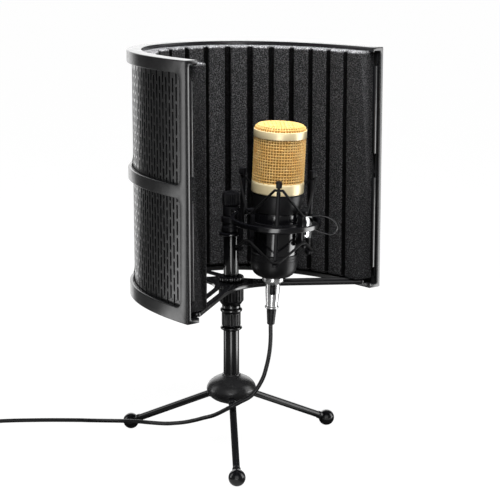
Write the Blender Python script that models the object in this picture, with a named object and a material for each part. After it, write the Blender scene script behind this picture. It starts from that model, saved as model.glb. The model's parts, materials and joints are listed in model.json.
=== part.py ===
"""Desktop microphone isolation shield: a curved vented screen lined with ribbed foam, carried by a
slotted bracket on a tripod column, with a shock-mounted condenser microphone inside it.

Metres, +Z up. The opening of the shield faces -Y. The origin is the bottom centre of the
assembly's box, without the cable. Lengths below are in millimetres and are scaled once, in mesh()."""
import bpy
import bmesh
import math
from mathutils import Matrix, Vector

MM = 0.001

# ---- where the column stands, measured from the box's bottom centre
COLUMN_X = -2.2
COLUMN_Y = -6.16

# ---- shield: outside outline |x/a|^e + |y/b|^e = 1, cut straight across the front
HALF_WIDTH = 111.2
DEPTH = 167.7
OUTLINE_POWER = 2.26
FRONT_OFFSET = 79.7          # straight front edge ahead of the column's axis
SHIELD_BOTTOM = 149.2
SHIELD_TOP = 368.8
RAIL_WALL = 4.0
FLANGE_WIDTH = 12.8
FLANGE_THICK = 3.3
TOP_RAIL = 10.9
MIDDLE_RAIL = 10.9
BOTTOM_RAIL = 12.6
MIDDLE_BOTTOM = 254.4
BAR_WIDTH = 9.6
SHEET_OUT = 4.6
SHEET_THICK = 0.9
FOAM_OUT = 6.0
FOAM_IN = 25.6
GROOVE_DEPTH = 9.0
GROOVE_WIDTH = 5.2
RIBS = 18
FOAM_BOTTOM = 157.6
FOAM_TOP = 365.2
FOAM_SETBACK = 5.2
MULLIONS = {"left": 0.372, "right": 0.628}      # as fractions of the outline's length
RETAINER_IN = 5.9
RETAINER_THICK = 2.5
RETAINER_FROM_END = (1.2, 4.6)
RETAINER_HEIGHTS = {"lower": (168.0, 251.0), "upper": (273.0, 352.0)}

# ---- bracket under the foam
PLATE_TOP = 156.5
PLATE_THICK = 1.5
PLATE_RADIUS = 16.5
RIM_BOTTOM = 152.8
RIM_WALL = 1.4
ARM_ANGLE = 35.0
ARM_LENGTH = 121.8
ARM_HALF = 7.6
BACK_ARM_LENGTH = 80.6
BACK_ARM_HALF = 13.0

# ---- tripod and column
FOOT_CIRCLE = 108.8
FOOT_RADIUS = 7.5
FOOT_ANGLES = {"front": -126.5, "right": -6.5, "left": 113.5}
LEG_RADIUS = 3.15
HUB_RADIUS = 22.8
HUB_MIDDLE = 55.0
HUB_HALF_HEIGHT = 13.6
TUBE_RADIUS = 7.25
UPPER_TUBE_RADIUS = 6.95
INNER_TUBE_RADIUS = 5.0

# ---- shock mount and microphone, on an arm that points forward and a little to the right
ARM_HEADING = -80.4
HOOP_REACH = 53.0
HOOP_HEIGHT = 219.3
LEAN = 3.4
HINGE_BACK = 43.7            # hinge behind the hoop's centre, in the hoop's own plane
HOOP_OUTER = 40.2
HOOP_INNER = 36.9
POST_MIDDLE = 34.8
POST_TOP = 42.6
POST_BOTTOM = -33.5
POSTS = {"left": -49.0, "right": 71.0, "rear": 191.0}
FINGERS = (11.0, 131.0, 251.0)
CLIP_ANGLE = 40.0
TAB_REACH = 31.8
TAB_WIDTH = 4.9
LATCH_ANGLE = -49.0

# ---- cable
CABLE_D = 3.8

COLORS = {
    "frame": ((0.030, 0.031, 0.034), 0.0, 0.38),
    "sheet": ((0.022, 0.023, 0.025), 0.6, 0.42),
    "foam": ((0.020, 0.020, 0.022), 0.0, 0.98),
    "steel_black": ((0.012, 0.012, 0.013), 0.4, 0.30),
    "gloss_black": ((0.008, 0.008, 0.009), 0.0, 0.12),
    "plastic_black": ((0.012, 0.012, 0.013), 0.0, 0.35),
    "gold_mesh": ((0.72, 0.43, 0.12), 0.9, 0.42),
    "gold_band": ((0.86, 0.68, 0.36), 0.95, 0.22),
    "chrome": ((0.80, 0.81, 0.82), 1.0, 0.10),
    "rubber": ((0.010, 0.010, 0.011), 0.0, 0.65),
    "elastic": ((0.014, 0.014, 0.015), 0.0, 0.85),
}


# ------------------------------------------------------------------ helpers
def clear_scene():
    for item in list(bpy.data.objects):
        bpy.data.objects.remove(item, do_unlink=True)


def material(name, slot):
    color, metallic, roughness = COLORS[slot]
    mat = bpy.data.materials.new(name)
    mat.use_nodes = True
    shader = mat.node_tree.nodes["Principled BSDF"]
    shader.inputs["Base Color"].default_value = (*color, 1.0)
    shader.inputs["Metallic"].default_value = metallic
    shader.inputs["Roughness"].default_value = roughness
    mat.diffuse_color = (*color, 1.0)
    return mat


def place(obj, name, slot, parent=None):
    bpy.context.scene.collection.objects.link(obj)
    obj.data.materials.append(material(name, slot))
    if parent is not None:
        obj.parent = parent
    return obj


def mesh(name, verts, faces, slot, parent=None, smooth=True, angle=35.0):
    """One closed body from points in millimetres, in the parent's frame."""
    data = bpy.data.meshes.new(name)
    data.from_pydata([tuple(c * MM for c in v) for v in verts], [], faces)
    data.update()
    bm = bmesh.new()
    bm.from_mesh(data)
    bmesh.ops.remove_doubles(bm, verts=bm.verts, dist=1e-7)
    bmesh.ops.recalc_face_normals(bm, faces=bm.faces)
    bm.to_mesh(data)
    bm.free()
    if smooth:
        data.shade_smooth()
        data.set_sharp_from_angle(angle=math.radians(angle))
    return place(bpy.data.objects.new(name, data), name, slot, parent)


def prism(name, outline, z0, z1, slot, parent=None, smooth=False):
    n = len(outline)
    verts = [(x, y, z0) for x, y in outline]
    verts += [(x, y, z1) for x, y in outline]
    faces = [(i, (i + 1) % n, n + (i + 1) % n, n + i) for i in range(n)]
    faces.append(tuple(reversed(range(n))))
    faces.append(tuple(range(n, 2 * n)))
    return mesh(name, verts, faces, slot, parent, smooth)


def lathe(name, profile, slot, parent=None, steps=20, closed=False, angle=35.0):
    """A turned body. The profile is a list of (radius, height); a closed one is a ring."""
    verts = []
    rows = []
    for r, z in profile:
        if r < 1e-6:
            rows.append([len(verts)])
            verts.append((0.0, 0.0, z))
            continue
        rows.append(list(range(len(verts), len(verts) + steps)))
        for k in range(steps):
            a = 2.0 * math.pi * k / steps
            verts.append((r * math.cos(a), r * math.sin(a), z))
    pairs = list(zip(rows, rows[1:]))
    if closed:
        pairs.append((rows[-1], rows[0]))
    faces = []
    for low, high in pairs:
        for k in range(steps):
            j = (k + 1) % steps
            if len(low) == 1 and len(high) == 1:
                continue
            if len(low) == 1:
                faces.append((low[0], high[j], high[k]))
            elif len(high) == 1:
                faces.append((low[k], low[j], high[0]))
            else:
                faces.append((low[k], low[j], high[j], high[k]))
    return mesh(name, verts, faces, slot, parent, angle=angle)


def ring_of(name, outer, bore, z0, z1, slot, parent=None, bevel=0.0, steps=24):
    """A ring between an outer outline (angle -> radius) and a round bore."""
    levels = [(z0, -bevel), (z0 + bevel, 0.0), (z1 - bevel, 0.0), (z1, -bevel)]
    if bevel <= 0.0:
        levels = [(z0, 0.0), (z1, 0.0)]
    verts = []
    for z, grow in levels:
        for k in range(steps):
            a = 2.0 * math.pi * k / steps
            r = outer(a) + grow
            verts.append((r * math.cos(a), r * math.sin(a), z))
    for z in (z1, z0):
        for k in range(steps):
            a = 2.0 * math.pi * k / steps
            verts.append((bore * math.cos(a), bore * math.sin(a), z))
    rows = len(levels) + 2
    faces = []
    for row in range(rows):
        nxt = (row + 1) % rows
        for k in range(steps):
            j = (k + 1) % steps
            faces.append((row * steps + k, row * steps + j, nxt * steps + j, nxt * steps + k))
    return mesh(name, verts, faces, slot, parent)


def rod(name, points, radius, slot, parent=None, cyclic=False, resolution=2):
    """A round rod or cord through the points."""
    curve = bpy.data.curves.new(name, "CURVE")
    curve.dimensions = "3D"
    curve.bevel_depth = radius * MM
    curve.bevel_resolution = resolution
    curve.use_fill_caps = True
    spline = curve.splines.new("POLY")
    spline.points.add(len(points) - 1)
    for point, (x, y, z) in zip(spline.points, points):
        point.co = (x * MM, y * MM, z * MM, 1.0)
    spline.use_cyclic_u = cyclic
    return place(bpy.data.objects.new(name, curve), name, slot, parent)


def smooth_route(points, count):
    """Evenly spread points on a smooth curve through the route points."""
    pts = [Vector(p) for p in points]
    pts = [2 * pts[0] - pts[1]] + pts + [2 * pts[-1] - pts[-2]]
    dense = []
    for i in range(1, len(pts) - 2):
        p0, p1, p2, p3 = pts[i - 1:i + 3]
        for k in range(40):
            t = k / 40.0
            dense.append(0.5 * (2 * p1 + (p2 - p0) * t + (2 * p0 - 5 * p1 + 4 * p2 - p3) * t * t
                                + (3 * p1 - 3 * p2 + p3 - p0) * t ** 3))
    dense.append(pts[-2])
    run = [0.0]
    for a, b in zip(dense, dense[1:]):
        run.append(run[-1] + (b - a).length)
    out = []
    j = 0
    for k in range(count):
        want = run[-1] * k / (count - 1)
        while j < len(run) - 2 and run[j + 1] < want:
            j += 1
        f = (want - run[j]) / max(run[j + 1] - run[j], 1e-9)
        out.append(tuple(dense[j].lerp(dense[j + 1], min(max(f, 0.0), 1.0))))
    return out


def box(name, x0, x1, y0, y1, z0, z1, slot="plastic_black", parent=None):
    return prism(name, [(x0, y0), (x1, y0), (x1, y1), (x0, y1)], z0, z1, slot, parent)


def cut(target, cutter, operation="DIFFERENCE"):
    """Booleans are exact; the tool stays as a hidden wire guide."""
    modifier = target.modifiers.new(cutter.name, "BOOLEAN")
    modifier.object = cutter
    modifier.operation = operation
    modifier.solver = "EXACT"
    cutter.hide_render = True
    cutter.display_type = "WIRE"


def empty(name, location, parent=None, rotation=(0.0, 0.0, 0.0)):
    obj = bpy.data.objects.new(name, None)
    bpy.context.scene.collection.objects.link(obj)
    obj.location = [c * MM for c in location]
    obj.rotation_euler = rotation
    obj.parent = parent
    return obj


# ------------------------------------------------------------------ the shield's outline
class Outline:
    """The shield's outside curve moved inwards, read by distance along it from the left end."""

    def __init__(self, inward):
        samples = 1600
        base = []
        for k in range(samples + 1):
            t = math.pi * k / samples
            c = math.cos(t)
            s = max(math.sin(t), 0.0)
            x = -HALF_WIDTH * math.copysign(abs(c) ** (2.0 / OUTLINE_POWER), c)
            y = DEPTH * s ** (2.0 / OUTLINE_POWER) - FRONT_OFFSET
            base.append(Vector((x, y)))
        self.points = []
        for k, p in enumerate(base):
            step = base[min(k + 1, samples)] - base[max(k - 1, 0)]
            if k in (0, samples):
                step = Vector((0.0, 1.0 if k == 0 else -1.0))
            step.normalize()
            self.points.append(p + inward * Vector((step.y, -step.x)))
        self.run = [0.0]
        for a, b in zip(self.points, self.points[1:]):
            self.run.append(self.run[-1] + (b - a).length)
        self.length = self.run[-1]

    def at(self, distance):
        low = 0
        high = len(self.run) - 1
        while high - low > 1:
            middle = (low + high) // 2
            if self.run[middle] > distance:
                high = middle
            else:
                low = middle
        f = (distance - self.run[low]) / (self.run[high] - self.run[low])
        p = self.points[low].lerp(self.points[high], f)
        return (p.x, p.y)


def strip(inward, start, end, steps):
    """Points along the outline, where start and end are distances in from the two ends."""
    line = Outline(inward)
    span = line.length - start - end
    return [line.at(start + span * k / steps) for k in range(steps + 1)]


def part_strip(inward, middle, half, steps=4):
    """Points along the outline about a place given as a fraction of its length."""
    line = Outline(inward)
    centre = line.length * middle
    return [line.at(centre - half + 2.0 * half * k / steps) for k in range(steps + 1)]


def swept_rail(name, profile, parent):
    """A rail with the given (inward, height) section, following the whole outline."""
    steps = 30
    lines = [strip(inward, 0.0, 0.0, steps) for inward, _ in profile]
    n = len(profile)
    verts = []
    for k in range(steps + 1):
        for line, (_, z) in zip(lines, profile):
            verts.append((*line[k], z))
    faces = []
    for k in range(steps):
        for i in range(n):
            j = (i + 1) % n
            faces.append((k * n + i, k * n + j, (k + 1) * n + j, (k + 1) * n + i))
    faces.append(tuple(range(n)))
    faces.append(tuple(reversed(range(steps * n, steps * n + n))))
    return mesh(name, verts, faces, "frame", parent)


def shield_frame(parent):
    top = SHIELD_TOP
    low = SHIELD_BOTTOM
    swept_rail("top_rail", [
        (0.0, top - TOP_RAIL), (RAIL_WALL, top - TOP_RAIL), (RAIL_WALL, top - FLANGE_THICK),
        (FLANGE_WIDTH, top - FLANGE_THICK), (FLANGE_WIDTH, top), (1.2, top), (0.0, top - 1.2)], parent)
    swept_rail("middle_rail", [
        (0.0, MIDDLE_BOTTOM), (RAIL_WALL, MIDDLE_BOTTOM),
        (RAIL_WALL, MIDDLE_BOTTOM + MIDDLE_RAIL), (0.0, MIDDLE_BOTTOM + MIDDLE_RAIL)], parent)
    swept_rail("bottom_rail", [
        (0.0, low + BOTTOM_RAIL), (0.0, low + 1.2), (1.2, low), (FLANGE_WIDTH, low),
        (FLANGE_WIDTH, low + FLANGE_THICK), (RAIL_WALL, low + FLANGE_THICK),
        (RAIL_WALL, low + BOTTOM_RAIL)], parent)
    rows = {
        "lower": (low + BOTTOM_RAIL + 0.3, MIDDLE_BOTTOM - 0.3),
        "upper": (MIDDLE_BOTTOM + MIDDLE_RAIL + 0.3, top - TOP_RAIL - 0.3),
    }
    length = Outline(0.0).length
    half = 0.5 * BAR_WIDTH
    for row, (z0, z1) in rows.items():
        bars = {
            "end_bar_left": half / length,
            "mullion_left": MULLIONS["left"],
            "mullion_right": MULLIONS["right"],
            "end_bar_right": 1.0 - half / length,
        }
        for bar, where in bars.items():
            outside = part_strip(0.0, where, half - 0.01)
            inside = part_strip(RAIL_WALL, where, half - 0.01)
            if bar == "end_bar_left":
                inside = [Outline(RAIL_WALL).at(0.01 + k * BAR_WIDTH / 4.0) for k in range(5)]
            if bar == "end_bar_right":
                line = Outline(RAIL_WALL)
                start = line.length - BAR_WIDTH - 0.01
                inside = [line.at(start + k * BAR_WIDTH / 4.0) for k in range(5)]
            prism(bar + "_" + row, outside + inside[::-1], z0, z1, "frame", parent)


def retainers(parent):
    """Thin upright strips just inside the two ends, which hold the sheet and the foam's edge."""
    first, last = RETAINER_FROM_END
    for row, (z0, z1) in RETAINER_HEIGHTS.items():
        for side in ("left", "right"):
            near = Outline(RETAINER_IN)
            far = Outline(RETAINER_IN + RETAINER_THICK)
            distances = (first, last)
            if side == "right":
                distances = (near.length - last, near.length - first)
            a = [near.at(d) for d in distances]
            shift = far.length - near.length if side == "right" else 0.0
            b = [far.at(d + shift) for d in distances]
            prism("foam_retainer_" + side + "_" + row, a + b[::-1], z0, z1, "frame", parent)


def sheet_and_foam(parent):
    steps = 40
    outside = strip(SHEET_OUT, 1.0, 1.0, steps)
    inside = strip(SHEET_OUT + SHEET_THICK, 1.0, 1.0, steps)
    prism("perforated_sheet", outside + inside[::-1], SHIELD_BOTTOM + FLANGE_THICK + 0.4,
          SHIELD_TOP - FLANGE_THICK - 0.4, "sheet", parent, smooth=True)

    crest = Outline(FOAM_IN)
    valley = Outline(FOAM_IN - GROOVE_DEPTH)
    usable = crest.length - 2.0 * FOAM_SETBACK
    pitch = (usable + GROOVE_WIDTH) / RIBS
    rib = pitch - GROOVE_WIDTH
    inner = []
    for k in range(RIBS):
        start = FOAM_SETBACK + k * pitch
        for f in (0.0, 0.5, 1.0):
            inner.append(crest.at(start + f * rib))
        if k < RIBS - 1:
            for d in (start + rib + 0.15, start + pitch - 0.15):
                inner.append(valley.at(d / crest.length * valley.length))
    outer = strip(FOAM_OUT, FOAM_SETBACK, FOAM_SETBACK, 44)
    prism("foam_lining", outer + inner[::-1], FOAM_BOTTOM, FOAM_TOP, "foam", parent)


def bracket(parent):
    """A pressed plate with three slotted arms and a turned-down rim."""
    arms = ((90.0, BACK_ARM_LENGTH, BACK_ARM_HALF),
            (-ARM_ANGLE, ARM_LENGTH, ARM_HALF),
            (180.0 + ARM_ANGLE, ARM_LENGTH, ARM_HALF))

    def reach(angle, inset):
        best = PLATE_RADIUS - inset
        for heading, length, half in arms:
            turn = abs((angle - heading + 180.0) % 360.0 - 180.0)
            if turn >= 89.0:
                continue
            along = (length - inset) / math.cos(math.radians(turn))
            across = (half - inset) / max(math.sin(math.radians(turn)), 1e-6)
            best = max(best, min(along, across))
        return best

    angles = set(range(0, 360, 15))
    for heading, length, half in arms:
        corner = math.degrees(math.atan2(half, length))
        side = math.degrees(math.asin(half / PLATE_RADIUS))
        for turn in (0.0, corner, side, 0.5 * side + 0.5 * corner, 2.2 * corner):
            angles.add(round((heading + turn) % 360.0, 3))
            angles.add(round((heading - turn) % 360.0, 3))
    angles = sorted(angles)

    def loop(inset, z):
        out = []
        for a in angles:
            r = reach(a, inset)
            out.append((r * math.cos(math.radians(a)), r * math.sin(math.radians(a)), z))
        return out

    levels = [loop(0.0, PLATE_TOP), loop(0.0, RIM_BOTTOM), loop(RIM_WALL, RIM_BOTTOM),
              loop(RIM_WALL, PLATE_TOP - PLATE_THICK)]
    n = len(angles)
    verts = [v for level in levels for v in level]
    faces = []
    for row in range(3):
        for k in range(n):
            j = (k + 1) % n
            faces.append((row * n + k, row * n + j, (row + 1) * n + j, (row + 1) * n + k))
    faces.append(tuple(range(n)))
    faces.append(tuple(reversed(range(3 * n, 4 * n))))
    plate = mesh("bracket", verts, faces, "steel_black", parent, smooth=False)

    cutters = [(90.0, 24.0, 72.0, 8.4), (-ARM_ANGLE, 24.0, 112.0, 2.7), (180.0 + ARM_ANGLE, 24.0, 112.0, 2.7)]
    for index, (heading, near, far, half) in enumerate(cutters):
        outline = []
        for centre, first in ((far - half, -90.0), (near + half, 90.0)):
            for k in range(7):
                a = math.radians(first + 30.0 * k)
                outline.append((centre + half * math.cos(a), half * math.sin(a)))
        tool = prism("guide_slot_%d" % index, outline, 150.0, 160.0, "steel_black", parent)
        tool.rotation_euler = (0.0, 0.0, math.radians(heading))
        cut(plate, tool)
    hole = lathe("guide_hole", [(0.0, 150.0), (5.2, 150.0), (5.2, 160.0), (0.0, 160.0)],
                 "steel_black", parent, steps=24)
    cut(plate, hole)


# ------------------------------------------------------------------ tripod and column
def tripod(parent):
    profile = [(0.0, 44.0), (5.6, 44.0), (5.6, 69.4), (8.3, 69.4)]
    hub = [(8.3, 68.4)]
    for k in range(9):
        a = math.radians(60.0 - 16.0 * k)
        hub.append((HUB_RADIUS * math.cos(a), HUB_MIDDLE + HUB_HALF_HEIGHT * math.sin(a)))
    hub.append((6.0, HUB_MIDDLE - HUB_HALF_HEIGHT))
    hub.append((0.0, HUB_MIDDLE - HUB_HALF_HEIGHT))
    lathe("hub", profile + hub, "steel_black", parent, steps=24)
    for side, degrees in FOOT_ANGLES.items():
        a = math.radians(degrees)
        slope = (47.6 - FOOT_RADIUS) / (FOOT_CIRCLE - 22.0)
        start = HUB_RADIUS + 0.2
        end = FOOT_CIRCLE - (FOOT_RADIUS + 0.3) * math.cos(math.atan(slope))
        points = []
        for r in (start, 0.5 * (start + end), end):
            z = FOOT_RADIUS + (FOOT_CIRCLE - r) * slope
            points.append((r * math.cos(a), r * math.sin(a), z))
        rod("leg_" + side, points, LEG_RADIUS, "steel_black", parent)
        ball = [(0.0, 0.0)]
        for k in range(1, 8):
            b = math.pi * k / 8.0
            ball.append((FOOT_RADIUS * math.sin(b), FOOT_RADIUS * (1.0 - math.cos(b))))
        ball.append((0.0, 2.0 * FOOT_RADIUS))
        foot = lathe("foot_" + side, ball, "gloss_black", parent, steps=14)
        foot.location = (FOOT_CIRCLE * math.cos(a) * MM, FOOT_CIRCLE * math.sin(a) * MM, 0.0)


def column(fixed, grip_pivot, post):
    lathe("lower_tube", [(5.5, 69.8), (TUBE_RADIUS, 69.8), (TUBE_RADIUS, 110.9), (5.5, 110.9)],
          "steel_black", fixed, closed=True)
    lathe("clutch_lower_ring", [(5.5, 111.2), (9.3, 111.2), (10.0, 112.0), (10.0, 113.8), (9.3, 114.6),
                                (5.5, 114.6)], "gloss_black", fixed, closed=True)
    ring_of("clutch_grip", lambda a: 8.75 - 0.45 * (0.5 + 0.5 * math.cos(12.0 * a)), 5.5, 115.0, 127.7,
            "rubber", grip_pivot)
    lathe("clutch_upper_ring", [(5.5, 128.0), (9.4, 128.0), (10.1, 128.8), (10.1, 131.0), (8.5, 131.8),
                                (8.5, 134.2), (5.5, 134.2)], "gloss_black", grip_pivot, closed=True)
    lathe("inner_tube", [(0.0, 45.0), (INNER_TUBE_RADIUS, 45.0), (INNER_TUBE_RADIUS, 150.6), (0.0, 150.6)],
          "chrome", post)
    lathe("collar", [(5.3, 134.8), (8.8, 134.8), (11.4, 138.6), (11.4, 153.6), (10.6, 154.6), (5.3, 154.6)],
          "plastic_black", post, closed=True, steps=24)
    lathe("upper_tube", [(0.0, 151.0), (4.7, 151.0), (4.7, 162.4), (UPPER_TUBE_RADIUS, 162.4),
                         (UPPER_TUBE_RADIUS, 199.0), (0.0, 199.0)], "steel_black", post)
    lathe("top_flange", [(0.0, 199.3), (10.2, 199.3), (10.8, 200.0), (10.8, 202.0), (10.2, 202.6),
                         (0.0, 202.6)], "gloss_black", post)


def ring_nut(pivot):
    ring_of("ring_nut", lambda a: 11.6 - 0.5 * (0.5 + 0.5 * math.cos(12.0 * a)), 5.0, 156.9, 161.9,
            "steel_black", pivot)


# ------------------------------------------------------------------ shock mount
def mount_base(post, nut_pivot, arm):
    lathe("mount_socket", [(0.0, 202.9), (8.8, 202.9), (8.8, 216.4), (7.9, 217.3), (3.4, 217.3),
                           (3.4, 236.2), (0.0, 236.2)], "plastic_black", post)
    ring_of("clamp_nut", lambda a: 7.9 - 0.5 * (0.5 + 0.5 * math.cos(18.0 * a)), 3.8, 226.6, 239.0,
            "plastic_black", nut_pivot, steps=36)

    hinge_x = HOOP_REACH - HINGE_BACK * math.cos(math.radians(LEAN))
    hinge_z = HOOP_HEIGHT + HINGE_BACK * math.sin(math.radians(LEAN))
    eye = lathe("swivel_arm", [(0.0, 217.7), (7.4, 217.7), (7.4, 226.2), (0.0, 226.2)], "plastic_black", arm)
    profile = [(0.0, hinge_z - 2.9)]
    for k in range(9):
        a = math.radians(-90.0 + 22.5 * k)
        profile.append((hinge_x + 2.9 * math.cos(a), hinge_z + 2.9 * math.sin(a)))
    profile.append((0.0, hinge_z + 2.9))
    n = len(profile)
    verts = [(x, -5.8, z) for x, z in profile] + [(x, 5.8, z) for x, z in profile]
    faces = [(i, (i + 1) % n, n + (i + 1) % n, n + i) for i in range(n)]
    faces += [tuple(reversed(range(n))), tuple(range(n, 2 * n))]
    cut(eye, mesh("guide_fork", verts, faces, "plastic_black", arm, smooth=False), "UNION")
    cut(eye, box("guide_gap", 6.4, 20.0, -3.0, 3.0, 215.0, 229.0, parent=arm))
    cut(eye, lathe("guide_stud", [(0.0, 215.0), (3.8, 215.0), (3.8, 229.0), (0.0, 229.0)],
                   "plastic_black", arm))
    hole = lathe("guide_pin_hole_a", [(0.0, -9.0), (1.8, -9.0), (1.8, 9.0), (0.0, 9.0)],
                 "plastic_black", arm, steps=16)
    across = Matrix.Translation(Vector((hinge_x, 0.0, hinge_z)) * MM) @ Matrix.Rotation(math.radians(90.0), 4, "X")
    hole.matrix_local = across
    cut(eye, hole)
    pin = lathe("hinge_pin", [(0.0, -7.9), (2.6, -7.9), (2.6, -6.1), (1.45, -6.1), (1.45, 6.1), (2.6, 6.1),
                              (2.6, 7.9), (0.0, 7.9)], "chrome", arm, steps=16)
    pin.matrix_local = across


def hoop_and_posts(hoop):
    ring = lathe("hoop", [(HOOP_INNER, -2.3), (HOOP_OUTER, -2.3), (HOOP_OUTER, 2.3), (HOOP_INNER, 2.3)],
                 "gloss_black", hoop, steps=40, closed=True)
    profile = [(-38.0, 2.6), (-HINGE_BACK, 2.6)]
    for k in range(1, 8):
        a = math.radians(90.0 + 22.5 * k)
        profile.append((-HINGE_BACK + 2.6 * math.cos(a), 2.6 * math.sin(a)))
    profile += [(-HINGE_BACK, -2.6), (-38.0, -2.6)]
    n = len(profile)
    verts = [(x, -2.7, z) for x, z in profile] + [(x, 2.7, z) for x, z in profile]
    faces = [(i, (i + 1) % n, n + (i + 1) % n, n + i) for i in range(n)]
    faces += [tuple(reversed(range(n))), tuple(range(n, 2 * n))]
    cut(ring, mesh("guide_lug", verts, faces, "gloss_black", hoop, smooth=False), "UNION")
    hole = lathe("guide_pin_hole_b", [(0.0, -9.0), (1.8, -9.0), (1.8, 9.0), (0.0, 9.0)],
                 "gloss_black", hoop, steps=16)
    hole.matrix_local = (Matrix.Translation(Vector((-HINGE_BACK, 0.0, 0.0)) * MM)
                         @ Matrix.Rotation(math.radians(90.0), 4, "X"))
    cut(ring, hole)
    for name, degrees in POSTS.items():
        outline = [(33.3, -2.5), (36.5, -2.5), (36.5, 2.5), (33.3, 2.5)]
        post = prism("post_" + name, outline, POST_BOTTOM, POST_TOP, "plastic_black", hoop)
        post.rotation_euler = (0.0, 0.0, math.radians(degrees))


def zigzag(radius_post, radius_finger, z_post, z_finger):
    """A closed loop that runs between the outer posts and the cradle's fingers, round each of them."""
    points = []
    for k in range(6):
        a = math.radians(FINGERS[0] + 60.0 * k)
        radius, z = (radius_finger, z_finger) if k % 2 == 0 else (radius_post, z_post)
        for across, back in ((-4.4, 0.5), (0.0, 0.0), (4.4, 0.5)):
            r = radius - back
            points.append((r * math.cos(a) - across * math.sin(a), r * math.sin(a) + across * math.cos(a), z))
    return points


def suspension(hoop, cradle):
    rod("elastic_upper", zigzag(39.0, 29.6, 34.4, 9.0), 1.1, "elastic", hoop, cyclic=True, resolution=1)
    rod("elastic_lower", zigzag(39.0, 29.6, -29.0, -16.0), 1.1, "elastic", hoop, cyclic=True, resolution=1)
    band = lathe("cradle", [(21.4, -7.5), (23.4, -7.5), (23.4, 0.5), (21.4, 0.5)], "plastic_black", cradle,
                 steps=24, closed=True)
    for degrees in FINGERS:
        finger = box("guide_finger_%d" % degrees, 22.4, 27.6, -2.4, 2.4, -20.0, 13.0, parent=cradle)
        finger.rotation_euler = (0.0, 0.0, math.radians(degrees))
        cut(band, finger, "UNION")
    clear = lathe("guide_inside", [(0.0, -30.0), (21.4, -30.0), (21.4, 30.0), (0.0, 30.0)], "plastic_black",
                  cradle, steps=24)
    cut(band, clear)


def cradle_clip(cradle, handle_pivot):
    bent = [(23.7, -2.7), (TAB_REACH, -2.7), (TAB_REACH, -1.9), (24.6, -1.9), (24.6, 2.0), (23.7, 2.0)]
    plate = prism("clamp_plate", bent, -14.0, 5.5, "chrome", cradle)
    plate.rotation_euler = (0.0, 0.0, math.radians(CLIP_ANGLE))
    cut(plate, box("guide_window", 25.0, TAB_REACH - TAB_WIDTH, -4.0, -1.0, -11.5, 3.0, parent=plate))
    route = [(0.6, 0.0, 4.6), (8.0, 0.0, 5.6), (17.0, 0.0, 5.9), (25.6, 0.0, 2.6), (29.3, 0.0, -4.2),
             (25.2, 0.0, -10.2), (16.5, 0.0, -8.9), (7.5, 0.0, -6.2), (0.6, 0.0, -5.8)]
    rod("wire_handle", smooth_route(route, 20), 0.7, "steel_black", handle_pivot, resolution=1)


# ------------------------------------------------------------------ microphone
def microphone(cradle):
    grille = [(0.0, 37.0), (22.2, 37.0), (22.2, 74.6), (22.2, 81.6), (21.8, 83.0), (20.6, 84.5),
              (18.4, 85.6), (14.0, 86.0), (0.0, 86.0)]
    lathe("mic_grille", grille, "gold_mesh", cradle, steps=24)
    lathe("mic_band_upper", [(22.5, 75.4), (23.3, 75.4), (23.3, 82.2), (22.5, 82.2)], "gold_band", cradle,
          steps=24, closed=True)
    lathe("mic_band_lower", [(0.0, 26.4), (22.6, 26.4), (23.2, 27.0), (23.2, 36.6), (0.0, 36.6)],
          "gold_band", cradle, steps=24)
    lathe("mic_collar", [(0.0, 9.6), (21.0, 9.6), (22.6, 25.2), (22.2, 26.1), (0.0, 26.1)],
          "plastic_black", cradle, steps=24)
    lathe("mic_body", [(0.0, -28.4), (20.9, -28.4), (20.9, 9.3), (0.0, 9.3)], "gloss_black", cradle,
          steps=24)
    lathe("mic_bell", [(0.0, -50.4), (12.6, -50.4), (15.4, -49.4), (17.8, -47.3), (19.6, -44.2),
                       (20.6, -40.6), (20.8, -38.0), (20.8, -28.7), (0.0, -28.7)], "plastic_black", cradle,
          steps=24)


def plug(cradle, latch_pivot):
    shell = lathe("plug_shell", [(0.0, -80.4), (5.9, -80.4), (6.1, -78.4), (5.3, -78.0), (5.4, -76.0),
                                 (6.3, -66.0), (6.5, -57.6), (9.4, -55.2), (9.9, -54.0), (9.9, -50.7),
                                 (0.0, -50.7)],
                  "chrome", cradle, steps=20)
    shell.rotation_euler = (0.0, 0.0, math.radians(LATCH_ANGLE))
    cut(shell, box("guide_latch", 3.4, 12.0, -2.5, 2.5, -66.8, -57.2, parent=shell))
    box("plug_latch", 5.0, 7.3, -2.1, 2.1, -65.6, -58.6, "gloss_black", latch_pivot)
    lathe("plug_boot", [(0.0, -95.4), (3.4, -95.4), (3.5, -94.8), (4.5, -81.6), (4.3, -80.8), (0.0, -80.8)],
          "rubber", cradle, steps=16)


# ------------------------------------------------------------------ cable
CABLE_ROUTE = [
    (7.9, -46.5, 121.4), (7.6, -46.9, 112.0), (6.8, -46.6, 100.0), (5.2, -44.6, 86.0), (1.4, -42.3, 72.0),
    (-6.8, -38.0, 58.5), (-16.2, -32.4, 51.5), (-24.2, -27.9, 46.4), (-30.6, -14.0, 38.2), (-32.6, 1.0, 32.4),
    (-33.6, 13.0, 27.4), (-34.6, 26.5, 22.4), (-36.2, 39.6, 18.5), (-38.6, 52.0, 15.5), (-42.4, 70.8, 12.5),
    (-46.6, 81.6, 11.6), (-50.9, 90.0, 10.8), (-56.0, 101.4, 9.3), (-60.6, 120.0, 5.8), (-66.6, 136.3, 3.2),
    (-73.4, 147.5, 2.1), (-101.4, 170.9, 2.1), (-133.0, 193.1, 2.1), (-165.0, 207.6, 2.1), (-190.0, 214.6, 2.1)]
COIL_MIDDLE = (-196.0, 246.0)
COIL_RADIUS = 24.0
COIL_HALF_WIDTH = 7.8
COIL_HALF_HEIGHT = 7.0


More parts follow.
